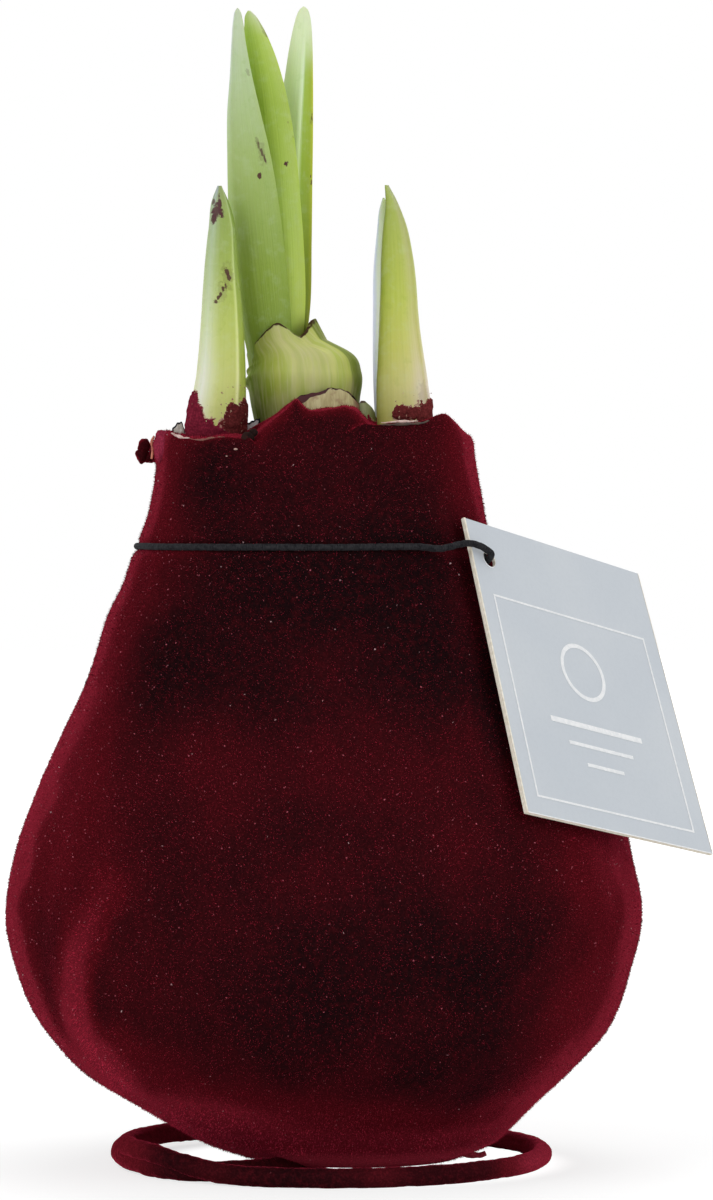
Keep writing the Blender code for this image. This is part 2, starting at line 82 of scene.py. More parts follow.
# and over the tag: across it, down it and out of its face
CORD_OVER = ((3.45, 5.8, 0.9), (2, 5.3, 1.1), (-0.6, 5, 0.95))
CORD_SEAT = -0.17        # the cord's middle, out from the bulb's surface
TAG_WIDTH, TAG_HEIGHT, TAG_THICK = 40, 48, 0.6
TAG_CORNER = (19.2, -15.8, 96.7)
TAG_TURN, TAG_LEAN, TAG_ROLL = 50.9, 26.6, 13.2
TAG_HOLE = (3.95, 6.05, 1.25)        # across, down and radius

# Leaves: height, middle x, middle y, half width, thickness, depth of the channel
LEAF_LEFT = (
    (117, -8.9, -1.4, 3, 1.3, 0.9), (122, -9.3, -1.5, 3.4, 1.4, 1), (126, -9.8, -1.6, 3.8, 1.4, 1.1),
    (136.8, -10.95, -2.1, 3.95, 1.3, 1.2), (143.4, -11.6, -2.6, 3.8, 1.2, 1.1),
    (150.9, -12.3, -3, 3.25, 1.1, 0.9), (157.3, -13.05, -3.2, 2.5, 1, 0.7),
    (162.9, -13.5, -3.1, 1.65, 0.9, 0.4), (168, -13.85, -2.9, 1.05, 0.8, 0.2),
    (171.2, -13.95, -2.7, 0.7, 0.6, 0), (172.5, -14, -2.6, 0.38, 0.5, 0),
    (172.9, -14, -2.6, 0.1, 0.3, 0),
)
LEAF_MIDDLE = (
    (117, -8, 1, 2.9, 1.3, 0.9), (122, -7.9, 1, 3.4, 1.4, 1), (127, -7.9, 1, 3.9, 1.4, 1.1),
    (138.4, -8.2, 0.9, 4, 1.3, 1.2), (145, -8.6, 0.8, 3.9, 1.2, 1.1), (151.5, -9, 0.8, 3.7, 1.1, 1),
    (157, -9.5, 0.7, 3.4, 1, 0.9), (162.9, -10.2, 0.7, 2.8, 0.9, 0.7), (167.4, -11, 0.6, 2.1, 0.8, 0.4),
    (170.8, -11.8, 0.6, 1.25, 0.7, 0.2), (172.2, -12.2, 0.6, 0.7, 0.5, 0),
    (172.8, -12.35, 0.6, 0.2, 0.3, 0),
)
LEAF_RIGHT = (
    (117, -6.9, 3.4, 2.3, 1.3, 0.7), (122, -6.8, 3.5, 2.8, 1.4, 0.8), (128.7, -6.6, 3.7, 3.4, 1.3, 1),
    (138, -6.3, 4.3, 3.3, 1.2, 1), (147, -6, 4.9, 3.1, 1.1, 1), (155, -5.6, 5.2, 2.8, 1, 0.9),
    (163, -4.95, 5.2, 2.15, 0.9, 0.7), (168, -4.6, 5, 1.72, 0.8, 0.4),
    (171.2, -4.35, 4.8, 1.28, 0.7, 0.2), (172.7, -4.25, 4.7, 0.92, 0.6, 0.1),
    (173.5, -4.2, 4.6, 0.5, 0.5, 0), (173.8, -4.2, 4.6, 0.12, 0.3, 0),
)
SHOOT_BACK = (
    (104.5, 10.3, -0.2, 3.2, 1, 0.7), (113.7, 10.4, -0.2, 4, 1.1, 0.9), (120, 10, -0.4, 3.8, 1, 0.9),
    (127, 9.5, -0.7, 3.3, 0.9, 0.8), (134, 9, -1.3, 2.7, 0.8, 0.6), (139.5, 8.4, -2.1, 1.6, 0.7, 0.3),
    (143.3, 7.85, -2.6, 0.6, 0.4, 0), (144.6, 7.8, -2.7, 0.15, 0.3, 0),
)

# Solid shoots and buds: height, middle x, middle y, half width, half depth
SHOOT_LEFT = (
    (104.5, -17, -8, 3.9, 2.9), (110, -17.1, -8, 4.35, 3.1), (118.3, -16.35, -8, 3.65, 2.8),
    (126.6, -16.2, -7.9, 3.1, 2.4), (134.4, -16.3, -7.8, 2.5, 2), (139.9, -16.2, -7.7, 2, 1.6),
    (143.8, -16.5, -7.6, 1.25, 1), (146.1, -16.6, -7.6, 0.3, 0.3),
)
SHOOT_RIGHT = (
    (104.5, 10.8, -4.6, 3.6, 2.2), (113.7, 10.75, -4.6, 4.05, 2.4), (117.7, 10.55, -4.6, 3.75, 2.3),
    (125.5, 10.1, -4.6, 3, 2.1), (130.8, 10, -4.6, 2.7, 1.9), (135.9, 9.75, -4.6, 2.35, 1.6),
    (140.2, 9.45, -4.6, 1.75, 1.2), (143.8, 8.95, -4.5, 0.85, 0.7), (146.4, 8.2, -4.4, 0.25, 0.25),
)
SIDE_BUD = (
    (107.5, 5.3, -3.2, 1.3, 1.1), (111.5, 5.2, -3.2, 1.5, 1.3), (113.3, 5, -3.2, 1.1, 0.9),
    (114.3, 4.7, -3.2, 0.3, 0.3),
)

COLLAR_Y = 0.7
# Height, middle x, half width, half depth
COLLAR = (
    (106, -3.6, 6.8, 6.2), (110, -3.8, 7.5, 7), (114.5, -4, 8.2, 7.6), (118.6, -4.1, 8.55, 7.8),
    (121.5, -4.7, 7.7, 7.2), (123.5, -6.6, 5.9, 6.2),
)
COLLAR_MOUTH = (-7.5, 5.2, 5.4)
# The torn rim of its mouth: direction and height
MOUTH_RIM = (
    (-180, 121.2), (-135, 123.2), (-95, 125.9), (-60, 123.9), (-20, 126.6), (30, 125.5), (90, 124.6),
    (140, 122.6), (180, 121.2),
)
MOUTH_FLOOR = 121.6
STUB_THICK = 1.2

# ---- sizes of the looks alone

BULB_AROUND = 288        # faces round the bulb
FOOT_RINGS = 13          # rings under it
TOP_RINGS = 45           # rings inside its rim
# Soft lobes of the bulb under the flock: direction, height, how far out, half sizes
LOBES = (
    (-139, 28, 0.55, 5.5, 19), (-149.5, 36, -0.5, 5, 15), (-40, 34, 0.35, 10, 20),
    (60, 36, 0.5, 12, 24), (120, 34, -0.4, 12, 22),
)
SIDE_TOP = 106.6         # where the bulb's side ends and its rim begins
RIM_LEVEL = 107          # the level at which the top is laid out
TAG_TWIST = 0.001        # how far out of flat, for each mm across and down
CORD_DENT = 0.5          # how deep the cord dents the pile
# The rim round the neck: direction and height
RIM = (
    (-180, 110), (-160, 109.6), (-148, 108.8), (-136, 108.3), (-125, 108.7), (-118, 108.6),
    (-108, 108.9), (-98, 109.7), (-85, 110.3), (-70, 110.6), (-55, 110.8), (-48, 111), (-43, 111.4),
    (-38, 112), (-33, 112.2), (-27, 111.3), (-20, 110.2), (-15, 109.7), (0, 109.1), (20, 108.9),
    (45, 109.9), (70, 109.5), (95, 110.3), (120, 109.6), (150, 109.3), (180, 110),
)
# The flock's edge round the collar: direction from the collar's middle and height
COLLAR_FLOCK = (
    (-180, 109), (-155, 109.2), (-138, 110.6), (-127, 111.6), (-115, 112.7), (-104, 113.9),
    (-98, 114.4), (-91, 113.6), (-84, 113), (-67, 113.1), (-50, 113.3), (-38, 113.3), (-20, 111.3),
    (0, 109.8), (60, 110.2), (90, 110.8), (150, 109.8), (180, 109),
)
# The top of the flock at the front: x and height
FRONT_RIDGE = (
    (-14, 108.1), (-12.4, 108.3), (-10.4, 110.2), (-9, 111.2), (-7.5, 112.3), (-6.1, 113.5),
    (-5.1, 114.2), (-4.3, 113.5), (-3.4, 112.7), (-2.4, 112.7), (-0.8, 112.9), (1.3, 113.1),
    (2.8, 113.4), (3.7, 113.2), (4.5, 112.2), (5.4, 111.2), (8, 110.9),
)
# The torn top of the cut scale: direction and height
STUB_EDGE = (
    (-104, 113.4), (-97, 114.6), (-88, 115.1), (-79, 115.5), (-72, 115.4), (-66, 116), (-55, 116),
    (-48, 115.6), (-38, 114.9), (-31, 113.9),
)
TOP_FLOOR = 109
HEAP_MIDDLE_X = -4.1     # the flock round the collar: its middle and half sizes
HEAP_HALF = (8.4, 7.7)
# Lumps of flocked wax on the bulb: direction, height, how far out, half sizes
LUMPS = (
    (184, 107.6, 0.9, 7, 2.2), (171, 107.6, 0.6, 6, 2.2), (20, 107, 0.6, 7, 2),
    (75, 106.5, 0.8, 6, 1.8),
)

# Painted shade: dark lumps in the dip between the left shoot and the collar: middle and half sizes
RECESS = (((-12.1, -20.5, 108.6), (0.95, 0.7, 0.75)), ((-11.3, -20.4, 109.3), (0.6, 0.5, 0.6)))
FIBRES = 190000          # that stand off the bulb's skin
# Curled drips of flocked wax at the rim's left: middle and half sizes
RIM_BLOBS = (
    ((-24.9, -5.6, 107.4), (1.8, 2.4, 2.4)), ((-26.1, -2.3, 106.6), (1.3, 1.5, 1.5)),
    ((-28, -2.2, 107.6), (1.05, 1.2, 1.05)), ((-28.3, -2.3, 106.3), (1, 1.1, 1.3)),
    ((-27.2, -2.2, 105.8), (0.8, 1, 0.8)),
)

# Painted light and shade on the bulb's front, laid on the pile in strokes: x and height, half sizes and how
# much.
# Among them are a painted shadow left of the tag and painted light from the floor at the foot.
LIGHT_STROKES = (
    (-14, 60, 44, 12.5, 0.13), (-34, 50, 16, 17, 0.15), (40, 48, 9, 13, 0.22), (20, 33, 26, 20, -0.14),
    (-32.2, 43, 4.5, 6, 0.25), (-35, 38, 4.5, 6, 0.44), (-36.8, 33, 4.2, 6, 0.55),
    (-37.2, 28, 4, 6, 0.6), (-36.6, 23, 4, 6, 0.62), (-34.4, 18, 4.5, 5, 0.62), (-31, 14, 5, 5, 0.6),
    (-40.4, 30, 3.3, 19, -0.2), (-42.5, 38, 4, 10, -0.12), (-4, 47, 14, 10, 0.1),
    (24.5, 71, 5, 13, -0.22), (-20, 5, 28, 12, 0.5), (-20, 8, 12, 6, 0.3), (32, 9, 7, 8, 0.5),
    (18, 6, 14, 3.5, 0.16), (0, 76, 28, 11, 0.09), (-31.5, 18, 8, 9, 0.25), (22, 13, 24, 14, -0.34),
    (-19, 101, 10, 12, -0.14), (20, 97, 9, 9, -0.12),
)

RNG = np.random.default_rng(20)
LATTICE = RNG.random((64, 64, 64))


def hermite(t, start, start_slope, end, end_slope):
    """A smooth curve from start to end for t from 0 to 1, with these slopes at its ends."""
    begin = (1 - t) ** 2 * ((1 + 2 * t) * start + t * start_slope)
    return begin + t * t * ((3 - 2 * t) * end + (t - 1) * end_slope)


def between(table, at):
    """Reads the table's later columns at values of its first, on a smooth curve through its rows."""
    rows = np.array(table, float)
    x, y = rows[:, 0], rows[:, 1:]
    slope = np.gradient(y, x, axis=0)
    at = np.clip(np.asarray(at, float), x[0], x[-1])
    i = np.clip(np.searchsorted(x, at, side="right") - 1, 0, len(x) - 2)
    span = (x[i + 1] - x[i])[..., None]
    return hermite((at - x[i])[..., None] / span, y[i], span * slope[i], y[i + 1], span * slope[i + 1])


def smooth(value, low=0, high=1):
    """A smooth step from 0 at low to 1 at high."""
    t = np.clip((value - low) / (high - low), 0, 1)
    return t * t * (3 - 2 * t)


def bell(distance, half_width):
    return np.exp(-((distance / half_width) ** 2))


def unit(vectors):
    return vectors / np.maximum(np.linalg.norm(vectors, axis=-1, keepdims=True), 1e-9)


def lumps(points, size):
    """Smooth random values from -1 to 1 over space, with features of this size."""
    spot = np.asarray(points, float) / size
    cell = np.floor(spot).astype(int)
    t = smooth(spot - cell)
    total = 0
    for corner in itertools.product((0, 1), repeat=3):
        i, j, k = np.moveaxis((cell + corner) % 64, -1, 0)
        total = total + np.prod(np.where(corner, t, 1 - t), axis=-1) * LATTICE[i, j, k]
    return 2 * total - 1


def angle_gap(a, b):
    """From b round to a, between -180 and 180."""
    return (np.asarray(a) - b + 180) % 360 - 180


def xyz(x, y, z):
    return np.stack(np.broadcast_arrays(x, y, z), axis=-1)


def oval(x, y, half_x, half_y, a, z):
    """Points on level ovals round (x, y), at directions a in radians and heights z."""
    return xyz(x + half_x * np.cos(a), y + half_y * np.sin(a), z)


# ---- meshes


class Build:
    """Collects the surfaces of one piece, in millimetres, with a UV and a material for each face."""

    def __init__(self):
        self.points, self.faces, self.uvs, self.slots, self.count = [], [], [], [], 0

    def grid(self, points, wrap=False, slot=0, slots=None, caps=False, flip=False, v=None):
        """A net of quads through rows of points. wrap joins each row's ends; caps closes both ends;
        v is how far up the UV map each row lies, where the rows aren't even."""
        rows, cols = points.shape[:2]
        v = np.linspace(0, 1, rows) if v is None else v
        across = cols if wrap else cols - 1
        i, j = [a.ravel() for a in np.meshgrid(np.arange(rows - 1), np.arange(across), indexing="ij")]
        at = lambda r, c: self.count + r * cols + c % cols
        corners = ((0, 0), (0, 1), (1, 1), (1, 0))
        quads = np.stack([at(i + di, j + dj) for di, dj in corners], axis=1)
        uv = np.stack([np.stack([(j + dj) / across, v[i + di]], axis=1) for di, dj in corners], axis=1)
        if flip:
            quads, uv = quads[:, ::-1], uv[:, ::-1]
        self.faces += quads.tolist()
        self.uvs += uv.reshape(-1, 2).tolist()
        self.slots += (np.full(len(quads), slot) if slots is None else slots.ravel()).tolist()
        if caps:
            for row in (0, rows - 1):
                loop = [int(at(row, c)) for c in range(cols)]
                self.faces.append(loop[::-1] if (row == 0) != flip else loop)
                self.uvs += [(0.5, float(v[row]))] * cols
                self.slots.append(slot)
        self.points.append(points.reshape(-1, 3))
        self.count += rows * cols
        return self

    def solid(self, rings, slot=0, **rest):
        """A closed body through rings of points."""
        return self.grid(rings, wrap=True, caps=True, slot=slot, **rest)

    def shards(self, points, slot=0):
        """Loose triangles: points has the shape (how many, 3, 3)."""
        n = len(points)
        self.faces += (np.arange(3 * n).reshape(n, 3) + self.count).tolist()
        self.uvs += [(0.0, 0.0), (1.0, 0.0), (0.5, 1.0)] * n
        self.slots += [slot] * n
        self.points.append(points.reshape(-1, 3))
        self.count += 3 * n
        return self

    def crumbs(self, at, size, corners, slot):
        """Tiny bodies of four faces, with their corners in these directions from each place."""
        corners = at[:, None, :] + size * corners
        for trio in ((0, 1, 2), (0, 3, 1), (1, 3, 2), (2, 3, 0)):
            self.shards(corners[:, trio, :], slot)

    def finish(self, name, materials, record_slot, *nodes, sharp=None):
        mesh = bpy.data.meshes.new(name)
        mesh.from_pydata((HOME + MM * np.concatenate(self.points)).tolist(), [], self.faces)
        mesh.uv_layers.new(name="UVMap").uv.foreach_set("vector", np.array(self.uvs, np.float32).ravel())
        mesh.polygons.foreach_set("material_index", np.array(self.slots, np.int32))
        for mat in materials:
            mesh.materials.append(mat)
        mesh.shade_smooth()
        if sharp:
            mesh.set_sharp_from_angle(angle=np.radians(sharp))
        mesh.update()
        obj = bpy.data.objects.new(name, mesh)
        bpy.context.scene.collection.objects.link(obj)
        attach(obj, "root")
        if nodes:
            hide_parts(*nodes)


def tube(path, radius, sides, side=(0, 0, 1)):
    """Rings of points round a path. radius may be one value, or one for each ring and side."""
    path = np.asarray(path, float)
    side = np.array(side, float)
    angles = np.radians(np.arange(sides) * 360 / sides)[:, None]
    radius = np.broadcast_to(np.asarray(radius, float), (len(path), sides))
    rings = []
    for here, ahead, r in zip(path, unit(np.gradient(path, axis=0)), radius):
        side = unit(side - ahead * side.dot(ahead))
        rings.append(here + r[:, None] * (np.cos(angles) * side + np.sin(angles) * np.cross(ahead, side)))
    return np.array(rings)


def smooth_path(points, spacing):
    points = np.asarray(points, float)
    gone = np.concatenate([[0], np.cumsum(np.linalg.norm(np.diff(points, axis=0), axis=1))])
    table = np.column_stack([gone, points])
    return between(table, np.linspace(0, gone[-1], int(gone[-1] / spacing) + 1))


def fuzz(points, height, size):
    """Moves a net of points in and out along its own normals, as the pile of the flock does."""
    across = np.roll(points, -1, axis=1) - np.roll(points, 1, axis=1)
    normal = unit(np.cross(across, np.gradient(points, axis=0)))
    return points + normal * (height * lumps(points, size))[..., None]


def tetra_corners(count):
    """Random directions of four corners each."""
    return unit(RNG.normal(size=(count, 4, 3)))


# ---- materials


class Nodes:
    """Makes the shader nodes of a material or of the world."""

    def __init__(self, owner):
        owner.use_nodes = True
        self.tree = owner.node_tree

    def add(self, kind, inputs=None, out=0, **settings):
        node = self.tree.nodes.new("ShaderNode" + kind)
        for name, value in settings.items():
            setattr(node, name, value)
        for name, value in (inputs or {}).items():
            if isinstance(value, bpy.types.NodeSocket):
                self.tree.links.new(value, node.inputs[name])
            else:
                node.inputs[name].default_value = value
        return node.outputs[out]

    def output(self, kind, shader):
        self.tree.links.new(shader, self.tree.nodes[kind + " Output"].inputs["Surface"])

    def sum(self, kind, a, b=0, c=0):
        return self.add("Math", {0: a, 1: b, 2: c}, operation=kind)

    def seen(self):
        """1 for rays from the camera and from mirrors and glass, 0 for those that carry light."""
        ray = self.add("LightPath").node.outputs
        seen = self.sum("MAXIMUM", ray["Is Camera Ray"], ray["Is Glossy Ray"])
        return self.sum("MAXIMUM", seen, ray["Is Transmission Ray"])


class Paint(Nodes):
    """The nodes of one material. Its base colour is laid on in coats, the first one by paint."""

    def __init__(self, name, **shader):
        self.mat = bpy.data.materials.new(name)
        super().__init__(self.mat)
        self.shader = self.tree.nodes["Principled BSDF"]
        for socket, value in shader.items():
            self.shader.inputs[socket.replace("_", " ")].default_value = value

    def link(self, value, socket):
        self.tree.links.new(value, self.shader.inputs[socket])

    def place(self):
        """The place in the part's frame, in metres."""
        return self.add("TexCoord", out="Object")

    def uv(self):
        return self.add("TexCoord", out="UV")

    def split(self, vector):
        return self.add("SeparateXYZ", {0: vector}).node.outputs[:3]

    def stretch(self, vector, scale):
        return self.add("VectorMath", {0: vector, 1: scale}, operation="MULTIPLY")

    def reach(self, vector, middle, scale):
        """How far it is from this middle, with each axis stretched by its scale."""
        off = self.add("VectorMath", {0: vector, 1: middle}, operation="SUBTRACT")
        return self.add("VectorMath", {0: self.stretch(off, scale)}, out=1, operation="LENGTH")

    def noise(self, vector, scale, detail=3, rough=0.6):
        return self.add("TexNoise", {"Vector": vector, "Scale": scale, "Detail": detail, "Roughness": rough})

    def streaks(self, across, along, detail=2, rough=0.6):
        """Noise over the UV map, with this many features each way."""
        return self.noise(self.stretch(self.uv(), (across, along, 1)), 1, detail, rough)

    def span(self, value, low, high, to_low=0, to_high=1):
        """A smooth step between two values."""
        return self.add("MapRange", {0: value, 1: low, 2: high, 3: to_low, 4: to_high},
                        interpolation_type="SMOOTHSTEP")

    def mix(self, factor, a, b, kind="MIX"):
        colour = lambda c: c if isinstance(c, bpy.types.NodeSocket) else (*c, 1)
        return self.add("Mix", {0: factor, 6: colour(a), 7: colour(b)}, out=2,
                        data_type="RGBA", blend_type=kind)

    def paint(self, base):
        self.base = base
        self.link(base, "Base Color")

    def lay(self, mask, colour):
        """Covers the base colour as far as the mask says."""
        self.paint(self.mix(mask, self.base, colour))

    def tint(self, mask, colour):
        """Multiplies the base colour as far as the mask says."""
        self.paint(self.mix(mask, self.base, colour, "MULTIPLY"))

    def ramp(self, value, stops):
        node = self.add("ValToRGB", {0: value}).node
        points = node.color_ramp.elements
        while len(points) < len(stops):
            points.new(0.5)
        for point, (at, *colour) in zip(points, stops):
            point.position = at
            point.color = (*colour, 1)
        return node.outputs[0]

    def bump(self, height, distance, strength):
        before = self.shader.inputs["Normal"].links
        inputs = {"Height": height, "Distance": distance, "Strength": strength}
        if before:
            inputs["Normal"] = before[0].from_socket
        self.link(self.add("Bump", inputs), "Normal")


def velvet(name, dark, light, painted_light=False, sheen=1, wire=False):
    """Dense short pile: dark where it is seen end on, paler where it is seen from the side. The bulb's flag
    lays painted light and shade over it, and wire lays painted light on the stand."""
    p = Paint(name, Roughness=1, Specular_IOR_Level=0, Sheen_Weight=sheen if wire else 0.72 * sheen,
              Sheen_Roughness=0.23, Sheen_Tint=(0.9, 0.06, 0.13, 1))
    where = p.place()
    across, away, height = p.split(where)
    pile_and_light = p.sum("MULTIPLY_ADD", p.noise(p.stretch(where, (1, 1, 0.7)), 30), 0.6, 0.2)
    lit_marks = []
    if painted_light:
        # darker on the slope under the neck and a little lighter at the crown; at the foot, painted light
        # from the floor
        slope = p.sum("MULTIPLY", p.span(height, 0.066, 0.076), p.span(height, 0.1, 0.088))
        lit_marks = [(slope, -0.11), (p.span(height, 0.014, 0.003), 0.42), (p.span(height, 0.102, 0.108), 0.04)]
        # the sheen of the fibres' sides: the sine of the angle at which the surface is seen
        facing = p.add("LayerWeight", {0: 0.5}, out=1)
        slant = p.sum("POWER", p.sum("MULTIPLY", facing, p.sum("SUBTRACT", 2, facing)), 0.5)
        for start, gain in ((0.52, 0.34), (0.9, 0.8)):
            lit_marks.append((p.sum("POWER", p.span(slant, start, 0.995), 2), gain))
        # the strokes' painted light and shade, on the front half only
        front = p.span(away, 0.012, -0.012)
        for x, z, half_x, half_z, gain in LIGHT_STROKES:
            middle = HOME + MM * np.array([x, 0, z])
            reach = p.reach(where, tuple(middle), (1000 / half_x, 0, 1000 / half_z))
            lit_marks.append((p.sum("MULTIPLY", p.span(reach, 1, 0), front), gain))
    if wire:
        # painted light on the stand: lighter at its two bends, and on the far strand, lifting the bulb's
        # shadow there
        lit_marks = [(p.span(across, 0.019, 0.028), 0.75), (p.span(across, -0.027, -0.035), 0.3),
                   (p.span(away, 0.002, 0.016), 0.85)]
    for stroke, gain in lit_marks:
        pile_and_light = p.sum("MULTIPLY_ADD", stroke, gain, pile_and_light)
    grain = p.noise(where, 3300, 2)
    tufts = p.noise(where, 1100)
    p.paint(p.mix(p.span(pile_and_light, 0.38, 0.8), dark, light))
    p.tint(p.span(pile_and_light, 0.78, 1.25), (2.2, 2.4, 2.7))
    p.lay(p.span(tufts, 0.42, 0.75, 0, 0.3), light)
    if painted_light:
        # painted light from the floor: a pale crimson on the underside of the foot
        p.lay(p.span(height, 0.0046, 0.0014, 0, 0.9), (0.44, 0.045, 0.075))
    p.tint(1, p.mix(p.span(grain, 0.42, 0.66), (0.82, 0.82, 0.82), (1.32, 1.28, 1.28)))
    p.bump(grain, 0.00017, 0.8)
    p.bump(tufts, 0.0001, 0.4)
    return p.mat


def plain(name, light, dark, scale, roughness, **shader):
    """A small trim material: two tones in fine clouds with a fine bump."""
    p = Paint(name, Roughness=roughness, **shader)
    cloud = p.noise(p.place(), scale)
    p.paint(p.mix(p.span(cloud, 0.35, 0.65), dark, light))
    p.bump(cloud, 0.0001, 0.5)
    return p.mat


flock = velvet("velvet_flock", (0.0094, 0.0036, 0.0043), (0.078, 0.0046, 0.0078), painted_light=True)
# a lighter copy of the flock, for the flock on the side bud in the light: painted light
flock_lit = velvet("velvet_flock_lit", (0.12, 0.009, 0.0165), (0.3, 0.024, 0.045))
flock_lump = velvet("velvet_lump", (0.2, 0.019, 0.04), (0.46, 0.045, 0.095))
flock_violet = velvet("velvet_violet", (0.135, 0.0115, 0.025), (0.33, 0.03, 0.062))
flock_dull = velvet("velvet_dull", (0.092, 0.016, 0.017), (0.25, 0.045, 0.044), sheen=0.5)
wire_flock = velvet("wire_flock", (0.015, 0.004, 0.0052), (0.14, 0.0095, 0.0165), wire=True)
nap = velvet("velvet_nap", (0.045, 0.0025, 0.005), (0.4, 0.022, 0.046), painted_light=True, sheen=0.4)
lint = plain("lint", (0.62, 0.42, 0.44), (0.3, 0.12, 0.14), 900, 0.8)
lint_faint = plain("lint_faint", (0.32, 0.065, 0.08), (0.12, 0.014, 0.022), 700, 0.8)
rosy_lint_and_glint = plain("rosy_lint_and_glint", (0.58, 0.12, 0.17), (0.3, 0.04, 0.065), 700, 0.8)
wax = plain("pale_wax", (0.66, 0.47, 0.43), (0.4, 0.22, 0.18), 900, 0.35)
rusty = plain("rusty_edge", (0.22, 0.075, 0.05), (0.1, 0.03, 0.022), 900, 0.7)
# a near-black for the painted shade in the dip by the left shoot
recess_shade = plain("painted_recess_shade", (0.024, 0.009, 0.007), (0.007, 0.003, 0.003), 700, 0.9, Specular_IOR_Level=0.1)
scuffed = plain("scuffed_wax", (0.6, 0.44, 0.28), (0.24, 0.075, 0.06), 1500, 0.6)
orange = plain("orange_edge", (0.62, 0.22, 0.13), (0.3, 0.055, 0.045), 1200, 0.7)
torn = plain("torn_edge", (0.055, 0.028, 0.014), (0.012, 0.008, 0.006), 700, 0.7)


# ---- the flocked bulb

FLOCK, LINT, LINT_FAINT, RECESS_SHADE, LUMP, ROSY_LINT_AND_GLINT, ORANGE = range(7)


def bulb_middle(z):
    """The middle and the half width of the bulb at this height."""
    left, right = np.moveaxis(between(BULB_SIDES, z), -1, 0)
    return (left + right) / 2, (right - left) / 2


def bulb_skin(angle, z):
    """Points of the bulb's side, for arrays of directions and heights."""
    middle, reach = bulb_middle(z)
    a = np.radians(angle)
    belly = np.clip((z - 4) / 20, 0, 1) * np.clip((96 - z) / 30, 0, 1)
    r = reach + belly * (0.5 * np.cos(5 * a + 0.6) - 0.3 * np.cos(9 * a)) * np.sin(a) ** 2
    for at, height, out, half_angle, half_height in LOBES:
        r = r + out * bell(angle_gap(angle, at), half_angle) * bell(z - height, half_height)
    r = r - CORD_DENT * bell(z - CORD_Z, 0.9)
    for at, height, out, half_angle, half_height in LUMPS:
        spread = (angle_gap(angle, at) / half_angle) ** 4 + ((z - height) / half_height) ** 4
        r = r + out * np.exp(-spread)
    points = oval(middle, 0, r, r, a, z)
    soft = smooth(z, 3, 20) * smooth(z, 108, 100)
    r = r + 0.35 * soft * lumps(points, 17) + 0.16 * lumps(points, 5)
    return oval(middle, 0, r, r, a, z)


def front_share(x, y):
    """1 where the flock runs up to the collar from the front without a rim, 0 elsewhere."""
    return smooth(-y, 3, 10) * smooth(x, -14, -11) * smooth(x, 9, 1.5)


def front_wall(x, inside):
    """Height of the flock that climbs from the side to the collar at the front."""
    top = between(FRONT_RIDGE, x)[..., 0]
    return SIDE_TOP + (top - SIDE_TOP) * (1 - (1 - np.clip(inside / 6.5, 0, 1)) ** 2.4)


def crest(angle, lift, out):
    """Points on top of the rim."""
    middle, reach = bulb_middle(RIM_LEVEL)
    r = reach - 0.7 + out
    return oval(middle, 0, r, r, np.radians(angle), between(RIM, angle)[..., 0] + lift)


def blended(rimmed, wall, share):
    """The rimmed top and the front wall, with the higher of the two where one gives way to the other."""
    mixed = rimmed * (1 - share) + wall * share
    return mixed + 4 * share * (1 - share) * (np.maximum(rimmed, wall) - mixed)


def flock_height(x, y):
    """Height of the flocked top between the rim and the collar."""
    middle, reach = bulb_middle(RIM_LEVEL)
    from_rim = reach - np.hypot(x - middle, y)
    rim = between(RIM, np.degrees(np.arctan2(y, x - middle)))[..., 0]
    dx, dy = x - HEAP_MIDDLE_X, y - COLLAR_Y
    wide, deep = dx / HEAP_HALF[0], dy / HEAP_HALF[1]
    past = np.hypot(dx, dy) * (1 - 1 / np.maximum(np.hypot(wide, deep), 0.2))
    heap = between(COLLAR_FLOCK, np.degrees(np.arctan2(deep, wide)))[..., 0]
    z = heap + (TOP_FLOOR - heap) * smooth(past, 0.4, 6.5)
    spot = np.stack([x, y, z], axis=-1)
    rough = (0.3 * lumps(spot, 4.5) + 0.22 * lumps(spot, 1.7)) * smooth(from_rim, 0.5, 3)
    z = z + rough
    z = z + (rim - z) * smooth(from_rim, 3.4, 0.9)
    return blended(z, front_wall(x, from_rim) + 0.6 * rough, front_share(x, y))


def bulb_foot(angles):
    """Rings of the dished underside, from the middle out."""
    x, reach = bulb_middle(1)
    share = np.linspace(0.02, 1, FOOT_RINGS + 1)[:-1, None]
    r = reach * share
    return oval(x, 0, r, r, np.radians(angles), 1 + (BASE_DISH - 1) * (1 - share ** 4))


def bulb_top(angles):
    """Rings over the rim and then in to the middle of the top."""
    edge = bulb_skin(angles, np.full(len(angles), SIDE_TOP))
    neck_x, neck_r = bulb_middle(RIM_LEVEL)
    rim = between(RIM, angle_gap(angles, 0))[:, 0]
    # the rim turns in sharply, more softly at the far left, and not at all at the front
    depth = 0.8 + 1.7 * bell(angle_gap(angles, 180), 16)
    share = front_share(edge[:, 0], edge[:, 1])
    rings = []
    for turn in np.radians(np.linspace(12, 90, 7)):
        inside = depth * (1 - np.cos(turn)) * (1 - share) + 0.8 * turn / (np.pi / 2) * share
        height = blended(SIDE_TOP + (rim - SIDE_TOP) * np.sin(turn), front_wall(edge[:, 0], inside), share)
        shrink = 1 - inside / neck_r
        rings.append(np.column_stack([neck_x + (edge[:, 0] - neck_x) * shrink, edge[:, 1] * shrink, height]))
    lip_x, lip_y, _ = rings[-1].T
    for share in np.linspace(1, 0.01, TOP_RINGS + 1)[1:]:
        x, y = neck_x + (lip_x - neck_x) * share, lip_y * share
        rings.append(np.column_stack([x, y, flock_height(x, y)]))
    return rings


